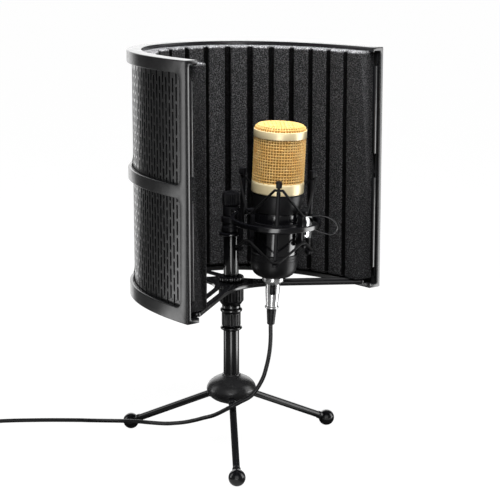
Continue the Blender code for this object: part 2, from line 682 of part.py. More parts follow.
def cable(parent):
    rod("cable", smooth_route(CABLE_ROUTE, 60), 0.5 * CABLE_D, "rubber", parent)
    ring = []
    for k in range(10):
        a = 2.0 * math.pi * k / 10.0
        ring.append((COIL_RADIUS + COIL_HALF_WIDTH * math.cos(a), COIL_HALF_HEIGHT * (1.01 + math.sin(a))))
    coil = lathe("cable_coil", ring, "rubber", parent, steps=24, closed=True, angle=50.0)
    coil.location = (COIL_MIDDLE[0] * MM, COIL_MIDDLE[1] * MM, 0.0)
    jack = lathe("jack_plug", [(0.0, 0.0), (1.2, 0.6), (1.75, 2.0), (1.75, 14.0), (3.6, 14.0), (4.2, 15.0),
                               (4.2, 31.0), (3.0, 33.0), (2.6, 41.0), (0.0, 41.0)], "chrome", parent,
                 steps=14)
    jack.location = ((COIL_MIDDLE[0] + 55.3) * MM, (COIL_MIDDLE[1] + 31.6) * MM, 4.3 * MM)
    jack.rotation_euler = (0.0, math.radians(90.0), math.radians(180.0))


# ------------------------------------------------------------------ assembly
def build():
    clear_scene()
    fixed = empty("column_axis", (COLUMN_X, COLUMN_Y, 0.0))
    grip_pivot = empty("grip_axis", (0.0, 0.0, 0.0), fixed)
    post = empty("post_slide", (0.0, 0.0, 0.0), fixed)
    shield = empty("shield_axis", (0.0, 0.0, 0.0), post)
    nut_pivot = empty("clamp_nut_axis", (0.0, 0.0, 0.0), post)
    ring_pivot = empty("ring_nut_axis", (0.0, 0.0, 0.0), post)
    arm = empty("arm_axis", (0.0, 0.0, 0.0), post, (0.0, 0.0, math.radians(ARM_HEADING)))
    hoop = empty("hoop_frame", (HOOP_REACH, 0.0, HOOP_HEIGHT), arm, (0.0, math.radians(LEAN), 0.0))
    cradle = empty("cradle_slide", (0.0, 0.0, 0.0), hoop)
    turn = math.radians(CLIP_ANGLE)
    handle = empty("handle_axis", (25.0 * math.cos(turn), 25.0 * math.sin(turn), 0.0), cradle,
                   (0.0, 0.0, turn))
    latch = empty("latch_slide", (0.0, 0.0, 0.0), cradle, (0.0, 0.0, math.radians(LATCH_ANGLE)))

    shield_frame(shield)
    retainers(shield)
    sheet_and_foam(shield)
    bracket(shield)
    ring_nut(ring_pivot)
    tripod(fixed)
    column(fixed, grip_pivot, post)
    mount_base(post, nut_pivot, arm)
    hoop_and_posts(hoop)
    suspension(hoop, cradle)
    cradle_clip(cradle, handle)
    microphone(cradle)
    plug(cradle, latch)
    cable(fixed)


build()
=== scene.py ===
import json
import math

import bmesh
import bpy
import numpy as np
from mathutils import Matrix, Vector, noise
from mathutils.geometry import tessellate_polygon


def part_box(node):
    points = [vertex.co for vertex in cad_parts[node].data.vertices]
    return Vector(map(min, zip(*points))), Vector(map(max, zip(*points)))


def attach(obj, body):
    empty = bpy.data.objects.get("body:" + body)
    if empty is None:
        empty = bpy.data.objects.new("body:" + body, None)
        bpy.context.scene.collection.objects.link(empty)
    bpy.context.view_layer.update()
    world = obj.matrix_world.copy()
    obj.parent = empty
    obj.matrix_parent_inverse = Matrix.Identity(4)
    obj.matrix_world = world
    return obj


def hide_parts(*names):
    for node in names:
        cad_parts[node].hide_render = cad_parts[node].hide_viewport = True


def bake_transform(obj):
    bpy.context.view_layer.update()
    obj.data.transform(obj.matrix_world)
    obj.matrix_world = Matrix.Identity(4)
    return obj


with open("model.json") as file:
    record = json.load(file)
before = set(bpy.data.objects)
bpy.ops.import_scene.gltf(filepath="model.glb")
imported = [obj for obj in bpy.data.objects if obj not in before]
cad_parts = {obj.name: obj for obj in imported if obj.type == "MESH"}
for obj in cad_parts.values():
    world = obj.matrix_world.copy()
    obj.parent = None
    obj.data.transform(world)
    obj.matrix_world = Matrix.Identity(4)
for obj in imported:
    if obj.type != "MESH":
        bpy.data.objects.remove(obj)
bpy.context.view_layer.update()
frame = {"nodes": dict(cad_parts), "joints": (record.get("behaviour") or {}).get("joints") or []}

# Lengths are in millimetres in the column's, the arm's or the hoop's own frame, and are scaled once,
# by the frame's matrix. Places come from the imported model.
MM = 0.001


def middle(node):
    low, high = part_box(node)
    return (low + high) / 2.0


def heights(node):
    """Lowest and highest point of a CAD node, in millimetres."""
    low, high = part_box(node)
    return low.z / MM, high.z / MM


def basis(origin, x, y, z):
    turned = Matrix((x, y, z)).transposed().to_4x4()
    return Matrix.Translation(origin) @ turned @ Matrix.Scale(MM, 4)


UP = Vector((0.0, 0.0, 1.0))
joints = {joint["name"]: joint for joint in frame["joints"]}
axis_at = middle("lower_tube")
axis_at.z = 0.0
across_arm = Vector(joints["hoop_tilt"]["axis"]).normalized()
hoop_up = Vector(joints["suspension"]["axis"]).normalized()
hoop_forward = across_arm.cross(hoop_up).normalized()
HINGE_BACK = 43.7
hoop_at = Vector(joints["hoop_tilt"]["pos_m"]) + HINGE_BACK * MM * hoop_forward

COLUMN = basis(axis_at, Vector((1.0, 0.0, 0.0)), Vector((0.0, 1.0, 0.0)), UP)
ARM = basis(axis_at, across_arm.cross(UP), across_arm, UP)
HOOP = basis(hoop_at, hoop_forward, across_arm, hoop_up)


# ------------------------------------------------------------------ camera
CAMERA_FROM_COLUMN = Vector((-0.8798, -1.0886, 0.4809))
CAMERA_DOWN = 11.014
CAMERA_HEADING = -39.65
FOCAL_LENGTH = 113.25
SENSOR_WIDTH = 36.0
SHIFT_UP = -0.05


def make_camera():
    data = bpy.data.cameras.new("camera")
    data.lens = FOCAL_LENGTH
    data.sensor_width = SENSOR_WIDTH
    data.shift_y = SHIFT_UP
    data.clip_start = 0.01
    camera = bpy.data.objects.new("camera", data)
    camera.location = axis_at + CAMERA_FROM_COLUMN
    camera.rotation_euler = (math.radians(90.0 - CAMERA_DOWN), 0.0, math.radians(CAMERA_HEADING))
    bpy.context.scene.collection.objects.link(camera)
    bpy.context.scene.camera = camera


# ------------------------------------------------------------------ materials
class Finish:
    """A Principled material whose colour, roughness and bump are made by nodes."""

    def __init__(self, name, metallic=0.0, roughness=0.4, color=(0.02, 0.02, 0.02)):
        self.material = bpy.data.materials.new(name)
        self.material.use_nodes = True
        self.tree = self.material.node_tree
        self.shader = self.tree.nodes["Principled BSDF"]
        self.shader.inputs["Metallic"].default_value = metallic
        self.shader.inputs["Roughness"].default_value = roughness
        self.shader.inputs["Base Color"].default_value = (*color, 1.0)
        self.material.diffuse_color = (*color, 1.0)
        self.place = self.tree.nodes.new("ShaderNodeTexCoord").outputs["Object"]

    def node(self, kind, **values):
        made = self.tree.nodes.new(kind)
        for key, value in values.items():
            if key in made.inputs:
                made.inputs[key].default_value = value
            else:
                setattr(made, key, value)
        return made

    def link(self, output, target):
        self.tree.links.new(output, target)

    def set(self, **values):
        for key, value in values.items():
            self.shader.inputs[key.replace("_", " ")].default_value = value
        return self

    def noise(self, scale, detail=3.0):
        made = self.node("ShaderNodeTexNoise", Scale=scale, Detail=detail)
        self.link(self.place, made.inputs["Vector"])
        return made.outputs["Fac"]

    def cells(self, scale):
        made = self.node("ShaderNodeTexVoronoi", Scale=scale)
        self.link(self.place, made.inputs["Vector"])
        return made.outputs["Distance"]

    def ramp(self, source, stops):
        """Turns a value into a grey or a colour between the stops, (position, colour)."""
        made = self.node("ShaderNodeValToRGB")
        elements = made.color_ramp.elements
        while len(elements) < len(stops):
            elements.new(0.5)
        for element, (position, color) in zip(elements, stops):
            element.position = position
            element.color = (*color, 1.0)
        self.link(source, made.inputs["Fac"])
        return made.outputs["Color"]

    def span(self, source, low, high, source_low=0.3, source_high=0.7):
        made = self.node("ShaderNodeMapRange")
        made.inputs["From Min"].default_value = source_low
        made.inputs["From Max"].default_value = source_high
        made.inputs["To Min"].default_value = low
        made.inputs["To Max"].default_value = high
        self.link(source, made.inputs["Value"])
        return made.outputs["Result"]

    def color(self, source):
        self.link(source, self.shader.inputs["Base Color"])
        return self

    def rough(self, source):
        self.link(source, self.shader.inputs["Roughness"])
        return self

    def bump(self, source, distance, strength=1.0, under=None):
        made = self.node("ShaderNodeBump", Strength=strength, Distance=distance)
        self.link(source, made.inputs["Height"])
        if under is not None:
            self.link(under, made.inputs["Normal"])
        self.link(made.outputs["Normal"], self.shader.inputs["Normal"])
        return made.outputs["Normal"]


def shade(color, factor):
    return tuple(min(c * factor, 1.0) for c in color)


# What each plain finish is: name, colour, metallic, roughness, how far the roughness swings, the
# grain's scale and depth, how far the tone swings, and the specular level.
PLAIN_FINISHES = {
    "frame": ("frame_moulding", (0.0075, 0.0077, 0.0085), 0.0, 0.23, 0.03, 3200.0, 1e-5, 0.12, 0.55),
    "sheet": ("slotted_sheet", (0.017, 0.0172, 0.018), 0.0, 0.22, 0.04, 1800.0, 1e-5, 0.12, 0.5),
    "steel": ("black_enamel", (0.007, 0.007, 0.008), 0.0, 0.15, 0.02, 1400.0, 4e-6, 0.12, 0.65),
    "hub": ("hub_enamel", (0.022, 0.022, 0.023), 0.0, 0.27, 0.03, 1400.0, 4e-6, 0.12, 0.5),
    "gloss": ("gloss_black", (0.004, 0.004, 0.005), 0.0, 0.16, 0.02, 900.0, 2e-6, 0.12, 0.75),
    "plastic": ("black_plastic", (0.007, 0.007, 0.008), 0.0, 0.32, 0.04, 2800.0, 1e-5, 0.12, 0.12),
    "satin": ("satin_black", (0.013, 0.013, 0.014), 0.0, 0.36, 0.04, 3000.0, 1e-5, 0.12, 0.2),
    "rubber": ("rubber", (0.010, 0.010, 0.011), 0.0, 0.40, 0.05, 2400.0, 2e-5, 0.12, 0.5),
    "jacket": ("cable_jacket", (0.009, 0.009, 0.010), 0.0, 0.36, 0.05, 2000.0, 1e-5, 0.12, 0.5),
    "chrome": ("chrome", (0.80, 0.81, 0.82), 1.0, 0.12, 0.03, 600.0, 2e-6, 0.02, 0.5),
    "gold": ("pale_gold", (0.98, 0.82, 0.50), 0.2, 0.34, 0.04, 1600.0, 4e-6, 0.03, 0.5),
    "plated": ("plated_plug", (0.92, 0.92, 0.92), 0.5, 0.20, 0.03, 600.0, 2e-6, 0.02, 0.5),
}


def plain_finish(name, color, metallic, roughness, swing, grain, depth, mottle, specular):
    """Moulded plastic, paint or metal: a little uneven in tone and gloss, with a fine grain."""
    made = Finish(name, metallic, roughness, color)
    dark, light = shade(color, 1.0 - mottle), shade(color, 1.0 + mottle)
    made.color(made.ramp(made.noise(55.0, 4.0), [(0.3, dark), (0.7, light)]))
    made.rough(made.span(made.noise(130.0, 5.0), roughness - swing, roughness + swing))
    made.bump(made.noise(grain, 2.0), depth, 0.6)
    return made.set(Specular_IOR_Level=specular)


def elastic_finish():
    cord = Finish("elastic_cord", 0.0, 0.55, (0.010, 0.010, 0.011))
    braid = cord.cells(1500.0)
    cord.color(cord.ramp(braid, [(0.0, (0.002, 0.002, 0.002)), (0.6, (0.011, 0.011, 0.0115))]))
    cord.bump(braid, 0.0002, 0.7)
    return cord.set(Specular_IOR_Level=0.15)


def wire_finish():
    wire = Finish("gold_wire", 0.25, 0.34, (0.95, 0.60, 0.20))
    wire.color(wire.ramp(wire.noise(160.0, 4.0), [(0.3, (0.92, 0.55, 0.16)), (0.7, (1.0, 0.72, 0.30))]))
    return wire.rough(wire.span(wire.noise(900.0, 3.0), 0.28, 0.42))


def gauze_finish():
    gauze = Finish("gold_inner_gauze", 0.2, 0.6, (0.55, 0.34, 0.12))
    cells = gauze.cells(2200.0)
    gauze.color(gauze.ramp(cells, [(0.0, (0.22, 0.11, 0.02)), (0.6, (0.62, 0.36, 0.09))]))
    gauze.bump(cells, 0.0002, 0.8)
    return gauze


# The foam's cell tones: painted shade in the pits, the foam's own charcoal, and painted highlights on the
# specks.
FOAM_PIT_SHADE = (0.018, 0.018, 0.019)
FOAM_BODY = (0.05, 0.05, 0.052)
FOAM_SPECK_HIGHLIGHT = (0.16, 0.16, 0.165)
# A painted highlight on the foam's top edges, where the light from above falls: how much lighter, and from
# which depths below the top.
TOP_EDGE_PAINTED_HIGHLIGHT = 7.0
TOP_EDGE_HIGHLIGHT_FADE = (0.0022, 0.0006)


def foam_finish(name, tone):
    """Open cells: painted shade in the pits, painted highlights on the specks, and on the top edge."""
    foam = Finish(name, 0.0, 0.96, shade(FOAM_BODY, tone))
    pores = foam.cells(1050.0)
    fine = foam.noise(1900.0, 3.0)
    mixed = foam.node("ShaderNodeMath", operation="MULTIPLY")
    foam.link(pores, mixed.inputs[0])
    foam.link(fine, mixed.inputs[1])
    cells = foam.ramp(mixed.outputs["Value"], [
        (0.12, shade(FOAM_PIT_SHADE, tone)), (0.27, shade(FOAM_BODY, tone)), (0.38, shade(FOAM_SPECK_HIGHLIGHT, tone))])
    # Painted highlight: the colour grows up to seven times lighter between 2.2 mm and 0.6 mm below the
    # foam's top.
    height = foam.node("ShaderNodeSeparateXYZ")
    foam.link(foam.place, height.inputs[0])
    cut = heights("foam_lining")[1] * MM
    low, high = (cut - below for below in TOP_EDGE_HIGHLIGHT_FADE)
    lift = foam.span(height.outputs["Z"], 1.0, TOP_EDGE_PAINTED_HIGHLIGHT, low, high)
    lighter = foam.node("ShaderNodeVectorMath", operation="SCALE")
    foam.link(cells, lighter.inputs[0])
    foam.link(lift, lighter.inputs["Scale"])
    foam.color(lighter.outputs[0])
    coarse = foam.bump(foam.noise(300.0, 3.0), 0.0005, 0.6)
    foam.bump(pores, 0.0006, 0.9, coarse)
    return foam.set(Specular_IOR_Level=0.1)


def make_materials():
    made = {key: plain_finish(*values) for key, values in PLAIN_FINISHES.items()}
    made["foam"] = foam_finish("open_cell_foam", 0.46)
    # A near-black copy of the foam: painted shade for the deep grooves and for the back seen through the
    # slots.
    made["foam_painted_shade"] = foam_finish("open_cell_foam_groove_painted_shade", 0.06)
    made["elastic"] = elastic_finish()
    made["wire"] = wire_finish()
    made["gauze"] = gauze_finish()
    return {key: value.material for key, value in made.items()}


# ------------------------------------------------------------------ mesh helpers
def piece(name, shell, material, body, place=COLUMN, stands_for=(), angle=35.0, marked=(),
          second=None):
    """A mesh in the given frame that rides on a body and stands for CAD nodes."""
    obj = loose(name, shell, material, place, angle, marked, second)
    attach(obj, body)
    if stands_for:
        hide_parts(*stands_for)
    return obj


def loose(name, shell, material, place=COLUMN, angle=35.0, marked=(), second=None):
    """A mesh that rides on nothing yet. The marked faces take the second material."""
    verts, faces = shell
    points = np.array(verts, float).reshape(-1, 3)
    matrix = np.array(place)
    points = points @ matrix[:3, :3].T + matrix[:3, 3]
    data = bpy.data.meshes.new(name)
    data.from_pydata(points.tolist(), [], [tuple(f) for f in faces])
    for index in marked:
        data.polygons[index].material_index = 1
    bm = bmesh.new()
    bm.from_mesh(data)
    bmesh.ops.remove_doubles(bm, verts=bm.verts, dist=2e-6)
    bmesh.ops.dissolve_degenerate(bm, edges=bm.edges, dist=1e-6)
    bmesh.ops.recalc_face_normals(bm, faces=bm.faces)
    bm.to_mesh(data)
    bm.free()
    data.shade_smooth()
    data.set_sharp_from_angle(angle=math.radians(angle))
    data.materials.append(MATERIALS[material])
    if second is not None:
        data.materials.append(MATERIALS[second])
    obj = bpy.data.objects.new(name, data)
    bpy.context.scene.collection.objects.link(obj)
    return obj


def joined(*shells):
    verts = []
    faces = []
    for more_verts, more_faces in shells:
        start = len(verts)
        verts += [tuple(v) for v in more_verts]
        faces += [tuple(start + i for i in face) for face in more_faces]
    return verts, faces


def moved(shell, matrix):
    verts, faces = shell
    return [tuple(matrix @ Vector(v)) for v in verts], faces


def turned_about_z(shell, degrees):
    return moved(shell, Matrix.Rotation(math.radians(degrees), 4, "Z"))


def skin(loops, ring=True, closed=False, start_cap=False, end_cap=False):
    """A skin through loops that all have the same number of points."""
    n = len(loops[0])
    rows = len(loops)
    verts = [tuple(p) for loop in loops for p in loop]
    faces = []
    for a in range(rows if closed else rows - 1):
        b = (a + 1) % rows
        for k in range(n if ring else n - 1):
            j = (k + 1) % n
            faces.append((a * n + k, a * n + j, b * n + j, b * n + k))
    if start_cap:
        faces.append(tuple(reversed(range(n))))
    if end_cap:
        faces.append(tuple(range((rows - 1) * n, rows * n)))
    return verts, faces


def soften(profile, radius, closed=False, steps=3):
    """Rounds the corners of a flat line. A point may carry its own radius as a third number."""
    points = [Vector(p[:2]) for p in profile]
    radii = [p[2] if len(p) > 2 else radius for p in profile]
    out = []
    for i, (p, r) in enumerate(zip(points, radii)):
        ends = not closed and i in (0, len(points) - 1)
        back = points[i - 1] - p
        ahead = points[(i + 1) % len(points)] - p
        if ends or r <= 0.0 or back.length < 1e-6 or ahead.length < 1e-6 or back.angle(ahead) > 2.8:
            out.append(tuple(p))
            continue
        cut = min(r, 0.45 * back.length, 0.45 * ahead.length)
        first = p + back.normalized() * cut
        last = p + ahead.normalized() * cut
        for k in range(steps + 1):
            t = k / steps
            out.append(tuple(first * (1 - t) ** 2 + p * 2 * t * (1 - t) + last * t * t))
    return out


def turned(profile, radius=0.4, steps=64, closed=False, flutes=None, round_steps=3):
    """A turned body from (radius, height) points; flutes(angle, r, z) changes its radius."""
    line = soften(profile, radius, closed, round_steps)
    loops = []
    for r, z in line:
        loop = []
        for k in range(steps):
            a = 2.0 * math.pi * k / steps
            reach = r if flutes is None else flutes(a, r, z)
            loop.append((reach * math.cos(a), reach * math.sin(a), z))
        loops.append(loop)
    return skin(loops, closed=closed)


def inset(loop, distance):
    """A closed flat line moved inwards; the line runs counter-clockwise."""
    out = []
    for i, p in enumerate(loop):
        p = Vector(p)
        a = (p - Vector(loop[i - 1]))
        b = (Vector(loop[(i + 1) % len(loop)]) - p)
        if a.length < 1e-9 or b.length < 1e-9:
            out.append(tuple(p))
            continue
        na = Vector((-a.y, a.x)).normalized()
        nb = Vector((-b.y, b.x)).normalized()
        n = na + nb
        n = n / max(n.length_squared / 2.0, 0.35)
        out.append(tuple(p + n * distance))
    return out


def slab(outline, low, high, edge=0.4):
    """A plate of the given counter-clockwise outline with rounded rims."""
    levels = [(edge, low), (0.3 * edge, low + 0.3 * edge), (0.0, low + edge),
              (0.0, high - edge), (0.3 * edge, high - 0.3 * edge), (edge, high)]
    loops = []
    for grow, z in levels:
        loops.append([(x, y, z) for x, y in inset(outline, grow)])
    verts, faces = skin(loops)
    n = len(outline)
    flat = tessellate_polygon([[Vector(p) for p in loops[0]]])
    for tri in flat:
        faces.append(tri)
        faces.append(tuple(len(verts) - n + i for i in tri))
    return verts, faces


def rectangle(x0, x1, y0, y1, radius=0.8):
    return soften([(x0, y0), (x1, y0), (x1, y1), (x0, y1)], radius, True)


def spline(points, step):
    """Points about `step` apart on a smooth curve through the route's points."""
    pts = [Vector(p) for p in points]
    pts = [2 * pts[0] - pts[1]] + pts + [2 * pts[-1] - pts[-2]]
    dense = []
    for i in range(1, len(pts) - 2):
        p0, p1, p2, p3 = pts[i - 1:i + 3]
        for k in range(24):
            t = k / 24.0
            dense.append(0.5 * (2 * p1 + (p2 - p0) * t + (2 * p0 - 5 * p1 + 4 * p2 - p3) * t * t
                                + (3 * p1 - 3 * p2 + p3 - p0) * t ** 3))
    dense.append(pts[-2])
    return even(dense, step)


def even(points, step):
    line = np.array([tuple(p) for p in points], float)
    run = np.concatenate([[0.0], np.cumsum(np.linalg.norm(np.diff(line, axis=0), axis=1))])
    count = max(2, int(round(run[-1] / step)) + 1)
    at = np.linspace(0.0, run[-1], count)
    return [Vector([np.interp(t, run, line[:, k]) for k in range(3)]) for t in at]


def tube(points, radius, sides=12, closed=False, up=None):
    """A round tube along points. The radius is a number or a function of the share of the length."""
    pts = [Vector(p) for p in points]
    n = len(pts)
    side = None
    loops = []
    for i, p in enumerate(pts):
        before = pts[i - 1] if closed or i > 0 else p
        after = pts[(i + 1) % n] if closed or i < n - 1 else p
        ahead = (after - before).normalized()
        if up is not None:
            side = ahead.cross(up).normalized()
        elif side is None:
            side = ahead.orthogonal().normalized()
        else:
            side = (side - ahead * side.dot(ahead)).normalized()
        other = ahead.cross(side)
        r = radius(i / (n - 1)) if callable(radius) else radius
        loops.append([p + side * r * math.cos(a) + other * r * math.sin(a)
                      for a in (2.0 * math.pi * k / sides for k in range(sides))])
    return skin(loops, closed=closed, start_cap=not closed, end_cap=not closed)


# ------------------------------------------------------------------ the shield's outline
OUTLINE_POWER = 2.26
BAR_WIDTH = 9.6
WALL = 4.0
MULLIONS = (0.372, 0.628)


class Outline:
    """The shield's outside curve. wrap() takes (distance along it, inward, height) to a point."""

    def __init__(self):
        low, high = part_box("top_rail")
        half_width = (high.x - low.x) / 2.0 / MM
        depth = (high.y - low.y) / MM
        front = (low.y - axis_at.y) / MM
        t = np.linspace(0.0, math.pi, 1601)
        c = np.cos(t)
        s = np.maximum(np.sin(t), 0.0)
        x = -half_width * np.sign(c) * np.abs(c) ** (2.0 / OUTLINE_POWER)
        y = depth * s ** (2.0 / OUTLINE_POWER) + front
        self.line = np.stack([x, y], axis=1)
        ahead = np.gradient(self.line, axis=0)
        ahead[0] = (0.0, 1.0)
        ahead[-1] = (0.0, -1.0)
        ahead /= np.linalg.norm(ahead, axis=1)[:, None]
        self.inward = np.stack([ahead[:, 1], -ahead[:, 0]], axis=1)
        steps = np.linalg.norm(np.diff(self.line, axis=0), axis=1)
        self.run = np.concatenate([[0.0], np.cumsum(steps)])
        self.length = float(self.run[-1])
        crest = self.line + FOAM_IN * self.inward
        steps = np.linalg.norm(np.diff(crest, axis=0), axis=1)
        self.crest_run = np.concatenate([[0.0], np.cumsum(steps)])

    def from_crest(self, distance):
        """The distance along the outside that lies behind one along the foam's crests."""
        return float(np.interp(distance, self.crest_run, self.run))

    def wrap(self, points):
        p = np.array(points, float).reshape(-1, 3)
        out = np.empty_like(p)
        for k in range(2):
            out[:, k] = (np.interp(p[:, 0], self.run, self.line[:, k])
                         + p[:, 1] * np.interp(p[:, 0], self.run, self.inward[:, k]))
        out[:, 2] = p[:, 2]
        return out.tolist()


def wrapped(shell):
    verts, faces = shell
    return OUTLINE.wrap(verts), faces


CORNER_STEPS = 6


def between(a, b, count):
    """The points that part a straight run into equal steps, without its ends."""
    shares = [k / count for k in range(1, count)]
    return [(a[0] + (b[0] - a[0]) * f, a[1] + (b[1] - a[1]) * f) for f in shares]


def window_rim(s0, s1, z0, z1, radius, grow, along, upward):
    """A rounded window's rim, counter-clockwise from its lower left corner."""
    out = []
    corners = ((s0 + radius, z0 + radius, 180.0), (s1 - radius, z0 + radius, 270.0),
               (s1 - radius, z1 - radius, 0.0), (s0 + radius, z1 - radius, 90.0))
    r = radius + grow
    for index, (cs, cz, first) in enumerate(corners):
        for k in range(CORNER_STEPS + 1):
            a = math.radians(first + 90.0 * k / CORNER_STEPS)
            out.append((cs + r * math.cos(a), cz + r * math.sin(a)))
        here = out[-1]
        ns, nz, nfirst = corners[(index + 1) % 4]
        a = math.radians(nfirst)
        there = (ns + r * math.cos(a), nz + r * math.sin(a))
        out += between(here, there, along if index % 2 == 0 else upward)
    return out


def cell_rim(s0, s1, z0, z1, radius, cell, along, upward):
    """The border of a window's share of the moulding, point for point with its rim."""
    c0, c1, k0, k1 = cell
    corners = (((c0, z0 + radius), (c0, k0), (s0 + radius, k0)),
               ((s1 - radius, k0), (c1, k0), (c1, z0 + radius)),
               ((c1, z1 - radius), (c1, k1), (s1 - radius, k1)),
               ((s0 + radius, k1), (c0, k1), (c0, z1 - radius)))
    out = []
    half = CORNER_STEPS // 2
    for index, (a, q, b) in enumerate(corners):
        for k in range(CORNER_STEPS + 1):
            (p, r), f = ((a, q), k / half) if k <= half else ((q, b), (k - half) / half)
            out.append((p[0] + (r[0] - p[0]) * f, p[1] + (r[1] - p[1]) * f))
        here = b
        there = corners[(index + 1) % 4][0]
        out += between(here, there, along if index % 2 == 0 else upward)
    return out


def flange(top, way):
    """The section from the outer face round the flange to the inner face; way is 1 at the top."""
    line = [(0.0, top - way * 2.2, 0.0), (0.0, top, 1.3), (12.8, top, 0.9), (12.8, top - way * 4.5, 0.6),
            (10.9, top - way * 4.5, 0.6), (10.9, top - way * 3.3, 0.4), (WALL, top - way * 3.3, 2.6),
            (WALL, top - way * 7.4, 0.0)]
    return soften(line, 0.5, steps=4)


def end_cap(section, edge, face):
    """Closes the moulding's end with a softened rim. The section is closed, in (inward, height)."""
    area = sum(a[0] * b[1] - b[0] * a[1] for a, b in zip(section, section[1:] + section[:1]))
    line = section if area > 0 else section[::-1]
    size = abs(edge - face)
    loops = []
    for grow, back in ((0.0, 0.0), (0.12, 0.55), (0.35, 0.9), (0.6, 1.0)):
        s = edge + (face - edge) * back
        loops.append([(s, d, z) for d, z in inset(line, grow * size)])
    verts, faces = skin(loops)
    n = len(line)
    for tri in tessellate_polygon([[Vector((d, z, 0.0)) for _, d, z in loops[-1]]]):
        faces.append(tuple(len(verts) - n + i for i in tri))
    return verts, faces


END_ROUNDING = 0.8
WINDOW_CORNER = 6.4
RIM_ROUNDING = 0.9
RIM_STEPS_ALONG = 26
RIM_STEPS_UP = 8


def shield_moulding():
    """One moulding: three rails, the end bars and the mullions, with rounded windows."""
    bottom, low_window = heights("bottom_rail")
    middle_low, middle_high = heights("middle_rail")
    high_window, top = heights("top_rail")
    length = OUTLINE.length
    half = BAR_WIDTH / 2.0
    edge = END_ROUNDING
    radius = WINDOW_CORNER
    bump = RIM_ROUNDING
    rail_lines = (edge, length * MULLIONS[0], length * MULLIONS[1], length - edge)
    windows = ((BAR_WIDTH, length * MULLIONS[0] - half),
               (length * MULLIONS[0] + half, length * MULLIONS[1] - half),
               (length * MULLIONS[1] + half, length - BAR_WIDTH))
    centre = (middle_low + middle_high) / 2.0
    top_section = flange(top, 1)
    bottom_section = flange(bottom, -1)
    rows = ((low_window, middle_low, bottom_section[0][1], centre, bottom_section[-1][1], centre),
            (middle_high, high_window, centre, top_section[0][1], centre, top_section[-1][1]))
    along, upward = RIM_STEPS_ALONG, RIM_STEPS_UP
    shells = []
    stations = set()
    side_out = set()
    side_in = set()
    for column, (s0, s1) in enumerate(windows):
        c0, c1 = rail_lines[column], rail_lines[column + 1]
        for z0, z1, out_low, out_high, in_low, in_high in rows:
            outer = cell_rim(s0, s1, z0, z1, radius, (c0, c1, out_low, out_high), along, upward)
            inner = cell_rim(s0, s1, z0, z1, radius, (c0, c1, in_low, in_high), along, upward)
            loops = [[(s, 0.0, z) for s, z in outer]]
            for grow, depth in ((bump, 0.0), (0.35 * bump, 0.12 * bump), (0.1 * bump, 0.4 * bump),
                                (0.0, bump), (0.0, WALL - 0.5), (0.15, WALL - 0.15), (0.5, WALL)):
                rim = window_rim(s0, s1, z0, z1, radius, grow, along, upward)
                loops.append([(s, depth, z) for s, z in rim])
            loops.append([(s, WALL, z) for s, z in inner])
            shells.append(skin(loops))
            if column == 0:
                side_out |= {round(z, 6) for s, z in outer if abs(s - c0) < 1e-6}
                side_in |= {round(z, 6) for s, z in inner if abs(s - c0) < 1e-6}
            stations |= {round(s, 6) for s, z in outer if abs(z - out_low) < 1e-6 and z0 == low_window}
    stations = sorted(stations)
    for section in (top_section, bottom_section):
        shells.append(skin([[(s, d, z) for d, z in section] for s in stations], ring=False))
    outside = [(0.0, z) for z in sorted(side_out)]
    inside = [(WALL, z) for z in sorted(side_in, reverse=True)]
    section = outside + top_section[1:-1] + inside + bottom_section[1:-1][::-1]
    shells.append(end_cap(section, edge, 0.0))
    shells.append(end_cap(section, length - edge, length))
    names = ["top_rail", "middle_rail", "bottom_rail"]
    for row in ("lower", "upper"):
        for upright_bar in ("end_bar_left", "mullion_left", "mullion_right", "end_bar_right"):
            names.append(upright_bar + "_" + row)
    piece("shield_moulding", wrapped(joined(*shells)), "frame", "shield",
          stands_for=names, angle=40.0)


SHEET_FROM_END = 1.2
SHEET_IN = 4.6
SHEET_THICK = 0.9
SLOT_SPACING = 5.3
SLOT_ROW = 14.0
SLOT_HALF_WIDTH = 1.05
SLOT_HALF_HEIGHT = 6.0


